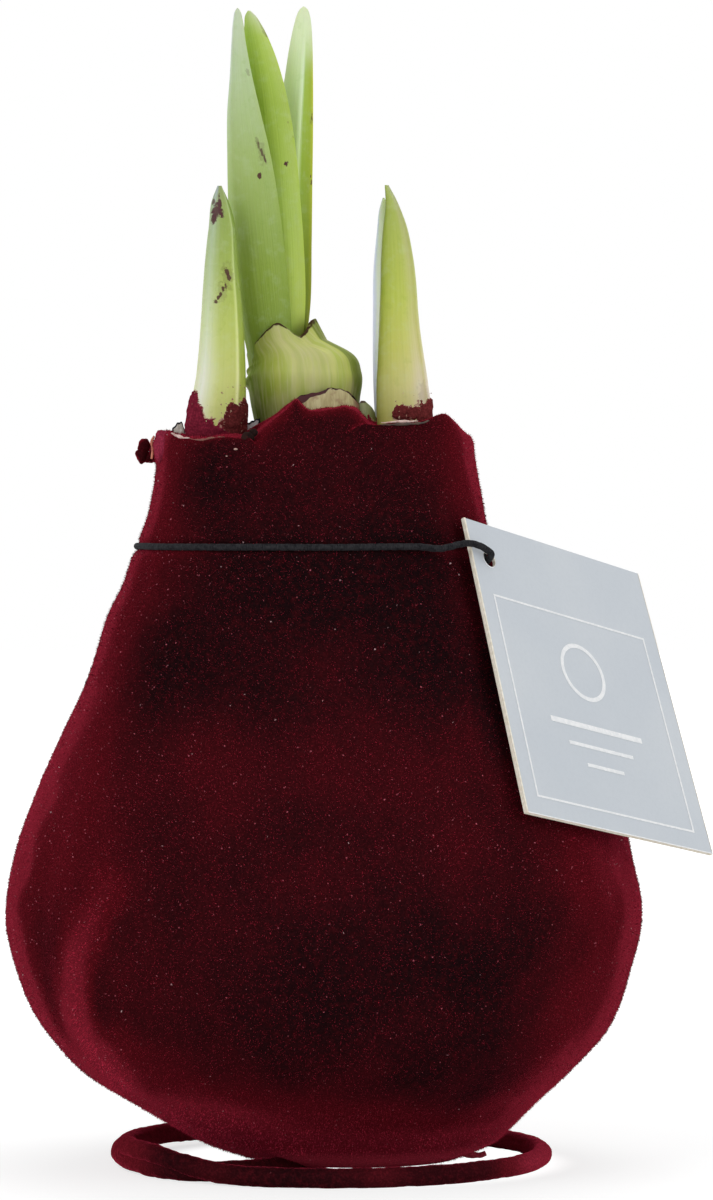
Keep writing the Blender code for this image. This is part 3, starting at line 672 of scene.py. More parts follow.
def bulb():
    angles = np.arange(BULB_AROUND) * 360 / BULB_AROUND
    heights = np.concatenate([np.linspace(1, 12, 22), np.linspace(12, 88, 120)[1:],
                              np.linspace(88, 96, 26)[1:], np.linspace(96, SIDE_TOP, 26)[1:]])
    skin = [*bulb_foot(angles), *bulb_skin(angles[None, :], heights[:, None]), *bulb_top(angles)]
    skin = fuzz(np.array(skin), 0.012, 0.8)
    build = Build().solid(skin)
    # the little tail of flock under the bulb at the right
    tail = smooth_path([(17, -6, 3), (18.8, -6.4, 2.35), (20.6, -6.6, 1.95), (22.2, -6.6, 1.85),
                        (23, -6.5, 2.15)], 0.25)
    build.solid(fuzz(tube(tail, np.linspace(0.8, 0.36, len(tail))[:, None], 12), 0.12, 0.7))
    for k, spot in enumerate(RIM_BLOBS):
        build.solid(blob(*spot), FLOCK if k else LUMP)
    # dark lumps of painted shade in the dip by the left shoot
    for spot in RECESS:
        build.solid(blob(*spot), RECESS_SHADE)
    lint_specks(build, skin)
    # an orange bead along the wax drip beside the lump: partly its bare wax, partly a painted highlight where
    # the lump's edge catches the light
    drip = smooth_path([(-26.35, -6.4, 109), (-26.75, -6.3, 108.2), (-26.6, -6.3, 107),
                        (-26.7, -6.1, 105.6)], 0.12)
    build.solid(fuzz(tube(drip, 0.17, 10), 0.12, 0.5), ORANGE)
    materials = [flock, lint, lint_faint, recess_shade, flock_lump, rosy_lint_and_glint, orange]
    build.finish("bulb_flock", materials, "velvet_flock", "flocked_bulb")
    pile(skin)


def blob(at, half):
    """A small lumpy ball."""
    turn = np.radians(np.linspace(-88, 88, 14))[:, None]
    a = (np.arange(20) * np.pi / 10)[None, :]
    ball = oval(0, 0, np.cos(turn), np.cos(turn), a, np.sin(turn))
    ball = ball * (1 + 0.25 * lumps(ball * 2 + np.array(at), 1.3))[..., None]
    return np.array(at) + ball * np.array(half)


def pile(skin):
    """Single fibres that stand off the skin and soften its outline."""
    ahead = np.roll(skin, -1, axis=1)[:-1] - skin[:-1]
    up = skin[1:] - skin[:-1]
    normal = np.cross(ahead, up)
    area = np.linalg.norm(normal, axis=2)
    normal = unit(normal)
    # none grow on the underside
    area[:FOOT_RINGS] = 0
    row, col = np.divmod(RNG.choice(area.size, FIBRES, p=(area / area.sum()).ravel()), skin.shape[1])
    share = RNG.random((2, FIBRES, 1))
    at = skin[row, col] + share[0] * ahead[row, col] + share[1] * up[row, col]
    out = unit(normal[row, col] + 0.45 * RNG.normal(size=(FIBRES, 3)))
    side = unit(np.cross(out, RNG.normal(size=(FIBRES, 3))))
    tall = RNG.uniform(0.18, 0.42, (FIBRES, 1))
    wide = RNG.uniform(0.025, 0.055, (FIBRES, 1))
    sunk = at - 0.06 * normal[row, col]
    fibres = np.stack([sunk - wide * side, sunk + wide * side, at + tall * out], axis=1)
    Build().shards(fibres).finish("bulb_pile", [nap], "velvet_flock")


def lint_specks(build, skin):
    """Sparse crumbs of lint and pale fibre caught in the pile, and rosy ones that also stand in for the
    glitter of the lit pile, so they are densest in a band round the belly and at the left of the front:
    partly painted highlight."""
    rows, cols = skin.shape[:2]
    for count, low, high, slot in ((260, 0.09, 0.22, LINT), (3600, 0.07, 0.15, LINT_FAINT),
                                   (9000, 0.1, 0.18, ROSY_LINT_AND_GLINT)):
        row = RNG.integers(FOOT_RINGS + 1, rows - TOP_RINGS - 3, count)
        col = RNG.integers(0, cols, count)
        share = RNG.random((count, 1))
        at = skin[row, col] * share + skin[row + 1, (col + 1) % cols] * (1 - share)
        # the rosy crumbs crowd where the pile catches the light: partly painted highlight
        if slot == ROSY_LINT_AND_GLINT:
            turn = np.degrees(np.arctan2(at[:, 1], at[:, 0] + 1))
            dense = 0.12 + bell(angle_gap(turn, -152), 27) + 0.7 * bell(at[:, 2] - 50, 12)
            keep = RNG.random(count) < dense * (1 - 0.9 * smooth(at[:, 2], 80, 97))
            at, count = at[keep], int(keep.sum())
        out = unit((at + [1, 0, 0]) * [1, 1, 0])
        size = RNG.uniform(low, high, (count, 1, 1))
        build.crumbs(at + 0.08 * out, size, tetra_corners(count), slot)


# ---- the wire stand


def wire_path():
    """Spike, spoke and ring, and the end that lies on top of where the ring began."""
    foot_x = float(bulb_middle(1)[0])
    level = WIRE_R * np.cos(np.pi / WIRE_SIDES)
    out = np.array([np.cos(np.radians(SPOKE_AT)), np.sin(np.radians(SPOKE_AT))])
    path = [(foot_x, 0, z) for z in np.linspace(SPIKE_TOP, level + SPIKE_BEND, 4)]
    for a in np.radians(np.arange(15, 91, 15)):
        run = SPIKE_BEND * (1 - np.cos(a))
        path.append((foot_x + run * out[0], run * out[1], level + SPIKE_BEND * (1 - np.sin(a))))
    start = np.array([foot_x, 0]) + SPIKE_BEND * out
    join = np.radians(RING_JOIN)
    finish = RING_R * np.array([np.cos(join), np.sin(join)])
    tangent = np.array([np.sin(join), -np.cos(join)])
    pull = 1.2 * np.linalg.norm(finish - start)
    for t in np.linspace(0, 1, 9)[1:]:
        path.append((*hermite(t, start, pull * out, finish, pull * tangent), level))
    turn = RING_JOIN - (RING_END - 360)
    for angle in np.linspace(RING_JOIN, RING_END - 360, 64)[1:]:
        climb = smooth((RING_JOIN - angle) / turn, 0.87, 0.965)
        lift = 0.9 * bell(angle_gap(angle, 152), 34) * (1 - climb)
        r = RING_R + END_OUTSET * climb
        path.append(oval(0, 0, r, r, np.radians(angle), level + END_LIFT * climb + lift))
    return path


def stand():
    path = smooth_path(wire_path(), 0.42)
    radius = np.full((len(path), 1), WIRE_R - 0.02)
    # the free end is round
    radius[-5:, 0] *= np.sqrt(1.02 - np.linspace(0.2, 1, 5) ** 2)
    rings = tube(path, radius, 26, (1, 0.2, 0))
    swell = 0.1 * lumps(rings, 2.2) + 0.07 * lumps(rings, 0.7)
    middle = rings.mean(axis=1, keepdims=True)
    rings = middle + (rings - middle) * (1 + swell / WIRE_R)[..., None]
    # it never reaches under the surface that it stands on
    rings[..., 2] = np.maximum(rings[..., 2], 0)
    build = Build().solid(rings)
    # flock has filled the groove between the two strands where they overlap
    a = np.radians(np.linspace(RING_END, RING_JOIN + 4, 60))
    seam = oval(0, 0, RING_R + 0.2, RING_R + 0.2, a, np.linspace(2.5, 1.9, 60))
    build.solid(fuzz(tube(seam, np.linspace(1.35, 0.9, 60)[:, None], 16), 0.12, 1.1))
    # crumbs of lint on its upper half
    at = path[RNG.integers(60, len(path), 60)]
    spread = unit(RNG.normal(size=(60, 3)))
    spread[:, 2] = np.abs(spread[:, 2])
    build.shards((at + (WIRE_R + 0.03) * spread)[:, None, :] + 0.09 * RNG.normal(size=(60, 3, 3)), 1)
    build.finish("stand_flock", [wire_flock, lint_faint], "wire_flock", "wire_stand")


# ---- leaves and shoots

FLESH = {"Subsurface_Weight": 0.12, "Subsurface_Scale": 0.0015, "Subsurface_Radius": (0.6, 1, 0.25)}
BARE, PILE, SCUFF, DULL_PILE = range(4)


def leaf_paint(name, along, across, streaks, marks=(), roughness=0.42, fade=None):
    """A leaf's skin. along and across are ramps over the UV map, each of places and colours. streaks is
    how strong the veins are. marks lists brown spots: u, v, half sizes and depth. fade is where up the
    leaf the colours across it give way to one."""
    p = Paint(name, **FLESH, Roughness=roughness, Specular_IOR_Level=0.25, Coat_Weight=0.05,
              Coat_Roughness=0.3)
    uv = p.uv()
    u, v, _ = p.split(uv)
    where = p.place()
    cloud = p.noise(where, 160)
    mottle = p.noise(where, 620)
    veins = p.streaks(46, 1.6, 3, 0.55)
    # the colours across hold painted highlights and painted shade as well as the leaf's own tones
    over = p.ramp(u, across)
    if fade:
        over = p.mix(p.span(v, *fade), over, (1.05, 1.06, 1.15))
    p.paint(p.ramp(v, along))
    p.tint(1, over)
    p.tint(p.span(veins, 0.35, 0.68, 0, streaks), (0.7, 0.8, 0.55))
    p.lay(p.span(p.streaks(150, 6), 0.45, 0.75, 0, streaks / 2), (0.66, 0.72, 0.46))
    p.tint(p.span(cloud, 0.3, 0.7, 0, 0.2), (1.12, 1.04, 1.22))
    p.lay(p.span(mottle, 0.48, 0.72, 0, 0.105), (0.62, 0.74, 0.56))
    p.tint(p.span(mottle, 0.42, 0.28, 0, 0.3), (0.78, 0.86, 0.62))
    ragged_edge = p.span(p.noise(where, 1300, 3, 0.65), 0.3, 0.7, -0.45, 0.45)
    for at_u, at_v, half_u, half_v, depth in marks:
        reach = p.reach(uv, (at_u, at_v, 0), (1 / half_u, 1 / half_v, 0))
        mark = p.span(p.sum("ADD", reach, ragged_edge), 0.75, 1.25, depth, 0)
        p.lay(mark, (0.066, 0.01, 0.013))
    p.link(p.span(cloud, 0.3, 0.7, roughness - 0.07, roughness + 0.12), "Roughness")
    p.bump(veins, 0.00016, 0.35 + streaks)
    p.bump(p.noise(where, 2600, 2, 0.5), 0.00003, 0.5)
    return p.mat


def blade(rows, fold=0.5, ridge=0, levels=150, roll=0, wave=0):
    """A leaf with two faces. fold is where across it the ridge runs, seen from the front."""
    steps = 26
    z = np.linspace(rows[0][0], rows[-1][0], levels)
    x, y, half_width, thick, channel = between(rows, z).T[..., None]
    z = z[:, None]
    u = np.sin(np.radians(np.linspace(-90, 90, steps)))
    share = (u + 1) / 2
    peak = np.where(share < fold, share / fold, (1 - share) / (1 - fold))
    spot = xyz(x + half_width * u, y, z)
    bulge = channel * (1 - u * u + ridge * (peak ** 2.2 - 0.3))
    bulge = bulge + wave * lumps(spot, 9) + 0.05 * lumps(spot * [1, 1, 0.25], 0.9)
    edge = roll * smooth(-u, 0.72, 1) * channel
    wall = thick / 2 * np.sqrt(1 - 0.85 * u * u)
    front, back = [xyz(x + half_width * u, y - bulge + edge - side * wall, z) for side in (1, -1)]
    # one closed skin: along the front from left to right, and back along the back
    build = Build().solid(np.concatenate([front, back[:, ::-1]], axis=1))
    uv = np.array(build.uvs)
    sides = uv[:-4 * steps]
    lap = sides[:, 0] * 2 * steps / (steps - 0.5)
    sides[:, 0] = np.clip(np.where(lap <= 1, lap, 2 - lap), 0, 1)
    build.uvs = uv.tolist()
    return build


def shoot(rows, flocked, upper=95, around=192, ridges=(), dull=None):
    """A solid shoot. Round it, the UV map starts at the left and comes to the front first. ridges lists
    place round it, height and half width. flocked tells which places the flock has climbed. upper is how
    many levels are above the flock, and dull the stretch round it where the flock is duller."""
    start, end = rows[0][0], rows[-1][0]
    fine = min(117, end - 1)
    z = np.concatenate([np.arange(start, fine, 0.09), np.linspace(fine, end, upper)])[:, None]
    x, y, half_width, half_depth = between(rows, z[:, 0]).T[..., None]
    u = np.arange(around) / around
    r = 1
    for at, height, half in ridges:
        gap = (u - at + 0.5) % 1 - 0.5
        r = r + height / half_width * np.exp(-np.abs(gap / half) ** 1.6)
    points = fuzz(oval(x, y, half_width * r, half_depth * r, np.pi + 2 * np.pi * u, z), 0.05, 3)
    cover = flocked(points, u)
    out = unit((points - points.mean(axis=1, keepdims=True)) * [1, 1, 0])
    deep = (0.3 + 0.16 * lumps(points, 0.7)) * smooth(cover, -0.02, 0.16)
    points = points + out * deep[..., None]
    cells = (cover[:-1] + cover[1:]) / 2
    cells = (cells + np.roll(cells, -1, axis=1)) / 2
    slots = np.where(cells > 0, PILE, BARE)
    frayed = lumps(points * [1.4, 1, 0.25], 0.5)[:-1]
    slots[(cells > -0.13) & (cells <= 0) & (frayed > 0.1)] = SCUFF
    slots[(cells > 0) & (cells < 0.4) & (frayed > 0.68)] = SCUFF
    if dull:
        stray = u + 0.03 * lumps(points, 1.2)[:-1] + 0.02 * (z[:-1] - start)
        slots[(slots == PILE) & (stray > dull[0]) & (stray < dull[1])] = DULL_PILE
    return Build().solid(points, slots=slots, v=(z[:, 0] - start) / (end - start))


def ragged(points):
    """How far a torn flock edge strays, in millimetres."""
    return 0.8 * lumps(points, 1.3) + 0.45 * lumps(points, 0.55) + 0.25 * lumps(points, 0.28)


def left_flock(points, u):
    """Flock on the left shoot: high at its left, low in front, a patch at its right."""
    top = np.interp(u, (0, 0.05, 0.1, 0.14, 0.2, 0.29, 0.305, 0.33, 0.37, 0.42, 0.5, 0.75, 1),
                    (115, 115.6, 115.2, 113.4, 111.3, 110.8, 112.8, 114.2, 113.6, 114.4, 113.8, 113, 115))
    return (top - points[..., 2] + ragged(points)) / 2


def right_flock(points, u):
    """Flock on the right shoot: a patch over its right half and none on its left."""
    top = np.interp(u, (0, 0.14, 0.17, 0.19, 0.24, 0.28, 0.32, 0.38, 0.46, 0.52, 0.8, 1),
                    (108, 109, 111.2, 113.3, 113.5, 112.9, 113.6, 114.3, 114.5, 113.8, 112, 108))
    foot = np.interp(u, (0, 0.2, 0.36, 0.42, 1), (111.4, 111.4, 111.1, 109.5, 109))
    stray = ragged(points)
    return np.minimum(top - points[..., 2] + 0.9 * stray, points[..., 2] - foot + 0.6 * stray) / 2


def bud_flock(points, u):
    """Flock round the side bud, a little higher at its right."""
    return (111.6 - 2.2 * smooth(u, 0.3, 0.2) - points[..., 2] + ragged(points)) / 2


def shoot_crumbs(build, rows, count, places, heights):
    """Pale crumbs of wax stuck to a shoot, between these places round it and these heights."""
    u, z = RNG.uniform(*places, count), RNG.uniform(*heights, count)
    x, y, half_width, half_depth = between(rows, z).T
    at = oval(x, y, half_width + 0.35, half_depth + 0.35, np.pi + 2 * np.pi * u, z)
    corners = tetra_corners(count)
    build.crumbs(at, RNG.uniform(0.08, 0.2, (count, 1, 1)), corners, SCUFF)


def leaves():
    pale = leaf_paint(
        "leaf_left_skin",
        [(0, 0.195, 0.28, 0.022), (0.3, 0.27, 0.38, 0.046), (0.6, 0.37, 0.49, 0.16), (0.85, 0.5, 0.62, 0.36),
         (1, 0.62, 0.7, 0.52)],
        # across: a pale left edge, partly a painted highlight where the edge catches the light
        [(0, 1.35, 1.3, 1.9), (0.1, 1.25, 1.22, 1.55), (0.24, 1, 1, 1), (0.75, 1, 1.02, 0.95),
         (0.97, 1.05, 1.08, 0.8), (1, 1.15, 1.15, 0.7)],
        0.16,
        [(0.665, 0.63, 0.018, 0.009, 0.6), (0.7, 0.614, 0.02, 0.01, 0.8), (0.735, 0.598, 0.02, 0.01, 0.85),
         (0.655, 0.645, 0.03, 0.008, 0.35), (0.7, 0.612, 0.07, 0.03, 0.25),
         (0.605, 0.548, 0.024, 0.009, 0.95), (0.62, 0.555, 0.014, 0.005, 0.9),
         (0.72, 0.828, 0.07, 0.01, 0.3)])
    blade(LEAF_LEFT, roll=0.5, wave=0.15).finish("leaf_left_blade", [pale], "leaf_green", "leaf_left")
    middle = leaf_paint(
        "leaf_middle_skin",
        [(0, 0.47, 0.62, 0.085), (0.2, 0.56, 0.7, 0.104), (0.45, 0.44, 0.585, 0.09),
         (0.75, 0.38, 0.51, 0.062), (0.93, 0.5, 0.64, 0.12), (1, 0.64, 0.7, 0.4)],
        # across: darker at the left, the painted shadow of the left leaf
        [(0, 0.7, 0.82, 0.4), (0.3, 0.72, 0.84, 0.45), (0.52, 0.88, 0.95, 0.75), (0.8, 1.02, 1.02, 1.25),
         (0.94, 1.08, 1.1, 0.95), (1, 1.35, 1.32, 0.8)],
        0.14,
        [(0.672, 0.588, 0.026, 0.005, 1), (0.7, 0.592, 0.016, 0.003, 0.7), (0.9, 0.955, 0.16, 0.022, 0.3),
         (0.97, 0.935, 0.1, 0.02, 0.35), (0.9, 0.662, 0.02, 0.004, 0.35), (0.8, 0.7, 0.015, 0.003, 0.3)])
    blade(LEAF_MIDDLE, wave=0.15).finish("leaf_middle_blade", [middle], "leaf_green", "leaf_middle")
    folded = leaf_paint(
        "leaf_right_skin",
        [(0, 0.38, 0.47, 0.045), (0.35, 0.45, 0.55, 0.075), (0.55, 0.56, 0.7, 0.2), (0.8, 0.66, 0.8, 0.4),
         (1, 0.74, 0.84, 0.5)],
        # across: a painted highlight along the fold and painted shade on the half beyond it; fade lets this
        # give way near the tip
        [(0, 1.05, 1.05, 1.2), (0.3, 1.05, 1.08, 1), (0.5, 1.06, 1.08, 1.15), (0.585, 1.08, 1.1, 1.35),
         (0.635, 0.56, 0.66, 0.16), (0.8, 0.56, 0.62, 0.07), (0.9, 0.86, 0.78, 0.06), (1, 0.98, 0.86, 0.07)],
        0.12,
        [(0.87, 0.709, 0.03, 0.009, 0.9), (0.85, 0.551, 0.026, 0.007, 0.85), (0.88, 0.537, 0.034, 0.008, 0.9),
         (0.86, 0.7, 0.06, 0.016, 0.25)],
        fade=(0.8, 0.95))
    blade(LEAF_RIGHT, fold=0.6, ridge=0.9).finish("leaf_right_blade", [folded], "leaf_green", "leaf_right")


def left_shoot():
    trail = [(0.3, 0.694, 0.022, 0.013), (0.318, 0.672, 0.016, 0.012), (0.285, 0.645, 0.013, 0.01),
             (0.264, 0.63, 0.012, 0.009), (0.24, 0.612, 0.013, 0.009), (0.222, 0.6, 0.012, 0.008),
             (0.2, 0.586, 0.017, 0.009)]
    skin = leaf_paint(
        "shoot_left_skin",
        [(0, 0.58, 0.58, 0.19), (0.3, 0.62, 0.66, 0.23), (0.5, 0.52, 0.6, 0.16), (0.75, 0.36, 0.46, 0.11),
         (0.92, 0.3, 0.4, 0.11), (1, 0.3, 0.36, 0.16)],
        # across: painted highlights on the left side and along the ridge at 0.365, and painted shade on the
        # right side
        [(0, 1.1, 1.1, 1.5), (0.13, 1.35, 1.3, 3.1), (0.2, 1.12, 1.1, 1.6), (0.24, 1, 1, 1),
         (0.345, 0.98, 1, 0.8), (0.365, 1.45, 1.4, 1.9), (0.385, 0.8, 0.88, 0.45), (0.5, 0.6, 0.72, 0.3)],
        0.13,
        [(*spot, 0.9) for spot in trail]
        + [(0.305, 0.678, 0.05, 0.04, 0.25), (0.25, 0.62, 0.04, 0.03, 0.2), (0.185, 0.905, 0.075, 0.03, 0.95),
           (0.235, 0.925, 0.035, 0.038, 0.97), (0.13, 0.885, 0.05, 0.02, 0.9), (0.1, 0.945, 0.04, 0.014, 0.8),
           (0.02, 0.735, 0.02, 0.01, 0.5)],
        roughness=0.32)
    ridges = [(0.365, 0.22, 0.035), (0.17, -0.12, 0.05)]
    build = shoot(SHOOT_LEFT, left_flock, ridges=ridges, dull=(0.4, 0.75))
    shoot_crumbs(build, SHOOT_LEFT, 46, (0.28, 0.47), (109.5, 116.5))
    shoot_crumbs(build, SHOOT_LEFT, 12, (0.08, 0.28), (110.5, 115.5))
    build.finish("shoot_left_spear", [skin, flock_violet, scuffed, flock_dull], "shoot_green", "shoot_left")


def right_shoot():
    skin = leaf_paint(
        "shoot_right_skin",
        [(0, 0.54, 0.49, 0.15), (0.28, 0.68, 0.66, 0.27), (0.42, 0.6, 0.62, 0.16), (0.6, 0.5, 0.58, 0.1),
         (0.9, 0.4, 0.48, 0.1), (1, 0.42, 0.5, 0.16)],
        [(0, 0.4, 0.4, 0.22), (0.055, 0.58, 0.6, 0.36), (0.12, 0.84, 0.86, 0.6), (0.2, 0.98, 0.98, 0.8),
         (0.3, 1.05, 1.02, 1.1), (0.37, 1.12, 1, 1.75), (0.42, 1.02, 0.92, 1.25), (0.45, 1.25, 1.15, 2.4),
         (0.5, 1.1, 1, 1.3)],
        0.16, [(0.4, 0.245, 0.05, 0.05, 0.16)], roughness=0.36)
    build = shoot(SHOOT_RIGHT, right_flock, ridges=[(0.46, 0.1, 0.03)])
    shoot_crumbs(build, SHOOT_RIGHT, 16, (0.2, 0.48), (112.5, 115.5))
    build.finish("shoot_right_spear", [skin, flock_dull, scuffed], "shoot_green", "shoot_right_front")
    strip = leaf_paint(
        "shoot_back_skin",
        [(0, 0.5, 0.52, 0.24), (0.3, 0.8, 0.83, 0.72), (0.6, 0.84, 0.87, 0.84), (1, 0.62, 0.68, 0.52)],
        [(0, 1.1, 1.1, 1.5), (0.06, 1.15, 1.15, 1.7), (0.14, 0.92, 0.98, 1.25), (0.22, 1.05, 1.08, 1),
         (0.5, 0.85, 0.92, 0.6), (1, 0.8, 0.88, 0.5)],
        0.08, roughness=0.36)
    blade(SHOOT_BACK, levels=110).finish("shoot_back_blade", [strip], "shoot_green", "shoot_right_back")


def bud():
    skin = leaf_paint(
        "bud_skin", [(0, 0.16, 0.2, 0.05), (0.6, 0.27, 0.3, 0.12), (1, 0.36, 0.36, 0.22)],
        [(0, 0.6, 0.7, 0.6), (0.2, 1, 1, 1), (0.4, 0.8, 0.85, 0.6), (1, 0.6, 0.7, 0.5)],
        0.3, [(0.2, 0.985, 0.3, 0.03, 0.85)])
    build = shoot(SIDE_BUD, bud_flock, upper=30, around=80)
    build.finish("bud_tip", [skin, flock_lit, scuffed], "shoot_green", "side_bud")


# ---- the collar and its scraps


def collar_paint():
    p = Paint("collar_skin", **FLESH, Roughness=0.55, Specular_IOR_Level=0.03)
    u, v, _ = p.split(p.uv())
    where = p.place()
    stripes = p.streaks(34, 1.4, 3, 0.55)
    cloud = p.noise(where, 210)
    # darker towards its foot, where it sinks into the flock: painted shade
    p.paint(p.ramp(v, [(0, 0.2, 0.26, 0.06), (0.35, 0.34, 0.39, 0.09), (0.6, 0.63, 0.66, 0.245),
                       (0.82, 0.56, 0.57, 0.215), (1, 0.5, 0.5, 0.22)]))
    # from the left, round the front to the right: dark flank in painted shade, bright lobe with a painted
    # highlight, pale middle, green lobe
    p.tint(1, p.ramp(u, [
        (0, 0.6, 0.72, 0.4), (0.07, 0.42, 0.54, 0.2), (0.115, 0.66, 0.74, 0.34), (0.17, 0.8, 0.82, 0.5),
        (0.215, 1.02, 1.01, 1), (0.3, 1.03, 1, 1.05), (0.385, 1, 1.02, 0.8), (0.402, 0.98, 1.02, 0.7),
        (0.41, 0.42, 0.5, 0.2), (0.52, 0.4, 0.5, 0.16), (0.72, 0.7, 0.8, 0.5), (1, 0.6, 0.72, 0.4)]))
    p.tint(p.span(stripes, 0.36, 0.62, 0, 0.55), (0.66, 0.78, 0.42))
    p.lay(p.span(p.streaks(110, 3), 0.45, 0.72, 0, 0.3), (0.66, 0.63, 0.4))
    p.lay(p.span(cloud, 0.42, 0.74, 0, 0.3), (0.52, 0.46, 0.3))
    tear = p.span(p.noise(where, 800), 0.3, 0.7, -0.006, 0.006)
    rim_band = p.span(p.sum("ADD", v, tear), 0.918, 0.93)
    worn = p.span(p.noise(where, 420, 2), 0.36, 0.52, 0.6, 1)
    p.lay(p.sum("MULTIPLY", rim_band, worn), (0.05, 0.024, 0.012))
    p.bump(stripes, 0.0003, 0.5)
    p.bump(cloud, 0.0002, 0.4)
    return p.mat


def collar():
    angles = np.arange(168) * 360 / 168 - 180
    a = np.radians(angles)
    z = np.linspace(COLLAR[0][0], COLLAR[-1][0], 84)[:, None]
    x, half_width, half_depth = between(COLLAR, z[:, 0]).T[..., None]
    # fine ribs, and two folds at the far left
    folds = (bell(z - 118.2, 0.9) + 0.9 * bell(z - 121.1, 0.5)) * bell(angle_gap(angles, -174), 24)
    ribs = 1 + 0.006 * np.cos(9 * a + 1) + 0.004 * np.cos(23 * a) + 0.05 * folds
    rings = list(oval(x, COLLAR_Y, half_width * ribs, half_depth * ribs, a, z))
    mouth_x, half_width, half_depth = COLLAR_MOUTH
    edge = oval(mouth_x, COLLAR_Y, half_width, half_depth, a, between(MOUTH_RIM, angles)[:, 0])
    edge[:, 2] += 0.14 * lumps(edge, 0.9) + 0.08 * lumps(edge, 0.4)
    # the skin between the last level and the torn edge, where no ring may pass the one above it
    last = rings[-1]
    rings += [last * (1 - t) + edge * t for t in np.linspace(0, 1, 12)[1:]]
    for k in range(len(rings) - 2, 30, -1):
        rings[k][:, 2] = np.minimum(rings[k][:, 2], rings[k + 1][:, 2] - 0.12)
    # and down inside
    middle = np.array([mouth_x, COLLAR_Y])
    for shrink, drop in ((0.94, 0.03), (0.89, 0.3), (0.85, 1), (0.8, 2), (0.72, 3), (0.02, 3.4)):
        height = np.maximum(edge[:, 2] - drop, np.minimum(MOUTH_FLOOR - 1.5, edge[:, 2]))
        rings.append(np.column_stack([middle + (edge[:, :2] - middle) * shrink, height]))
    build = Build().solid(np.array(rings))
    build.finish("collar_scales", [collar_paint()], "scale_green", "scale_collar", sharp=70)


def stub_paint():
    p = Paint("tan_scale", Roughness=0.75)
    u, v, _ = p.split(p.uv())
    fibre = p.streaks(40, 2, 3)
    p.paint(p.mix(p.span(fibre, 0.35, 0.7), (0.68, 0.62, 0.34), (0.5, 0.42, 0.2)))
    p.lay(p.span(p.noise(p.place(), 600), 0.48, 0.72, 0, 0.6), (0.3, 0.13, 0.09))
    for low, high in ((0.14, 0.03), (0.42, 0.475)):
        p.lay(p.span(u, low, high, 0, 0.75), (0.16, 0.035, 0.03))
    rim = p.sum("ADD", v, p.span(p.streaks(9, 0.2), 0.35, 0.65, -0.035, 0.012))
    rim = p.sum("ADD", rim, p.span(u, 0.2, 0.02, 0, 0.22))
    p.lay(p.span(rim, 0.95, 0.968), (0.06, 0.007, 0.01))
    p.bump(fibre, 0.0002, 0.6)
    return p.mat


def cut_scale():
    middle, half_width, half_depth = between(COLLAR, 115)
    angles = np.linspace(STUB_EDGE[0][0], STUB_EDGE[-1][0], 80)
    a = np.radians(angles)
    foot = 108
    top = between(STUB_EDGE, angles)[:, 0] + 0.12 * np.cos(angles / 2.1) * np.cos(angles / 5)
    inner = max(half_width, half_depth) + 0.3 + 0.12 * np.cos(a * 14)
    rings = []
    for t in np.linspace(0, 1, 60):
        outer = inner + STUB_THICK * (1 - 0.25 * t)
        near, far = [oval(middle, COLLAR_Y, r, r, a, foot + (top - foot) * t) for r in (inner, outer)]
        rings.append(np.concatenate([far, near[::-1]]))
    Build().solid(np.array(rings)).finish("cut_scale", [stub_paint()], "dry_scale", "scale_stub", sharp=60)


def slat_paint(name, light, dark, edge):
    """A dry scale with a dark torn edge along its top and ends."""
    p = Paint(name, Roughness=0.8, Specular_IOR_Level=0.1)
    u, v, _ = p.split(p.uv())
    cloud = p.noise(p.place(), 1100)
    stray = p.span(cloud, 0.3, 0.7, -0.03, 0.03)
    p.paint(p.mix(p.span(cloud, 0.35, 0.65), dark, light))
    for along, low, high in ((u, 0.12, 0.87), (v, 0.1, 0.9)):
        at = p.sum("ADD", along, stray)
        p.lay(p.span(at, low - 0.02, low + 0.02, 1, 0), edge)
        p.lay(p.span(at, high - 0.02, high + 0.02), edge)
    p.bump(cloud, 0.0001, 0.5)
    return p.mat


def slat(top, drop, thick, curl):
    """A thin upright scale hanging from this top edge. curl leans its foot forward."""
    x, y, z = smooth_path(top, 0.1).T[..., None]
    t = np.linspace(0, 1, 12)
    lean = np.concatenate([-thick / 2 - curl * t, (thick / 2 - curl * t)[::-1]])
    down = drop * np.concatenate([t, t[::-1]])
    return Build().solid(fuzz(xyz(x, y + lean, z + 0.08 * np.cos(9 * x) - down), 0.06, 0.5)[:, ::-1])


def dry_scales():
    dry = slat_paint("dry_tip", (0.85, 0.82, 0.76), (0.48, 0.44, 0.39), (0.008, 0.009, 0.015))
    top = [(-23.8, -2.9, 110.1), (-23.3, -3, 110.7), (-22.5, -3.1, 111.2), (-21.9, -3.2, 110)]
    slat(top, 1.9, 0.35, 0.5).finish("dry_scale_tip", [dry], "dry_scale", "dry_scale")
    papery = slat_paint("papery_tip", (0.95, 0.93, 0.94), (0.78, 0.74, 0.78), (0.01, 0.008, 0.014))
    top = [(-13.4, -5.4, 110.5), (-12.5, -5.5, 110.9), (-11.5, -5.4, 111.4), (-10.6, -5.2, 111.7)]
    slat(top, 1.5, 0.3, -0.2).finish("papery_scale_tip", [papery], "dry_scale", "papery_scale")


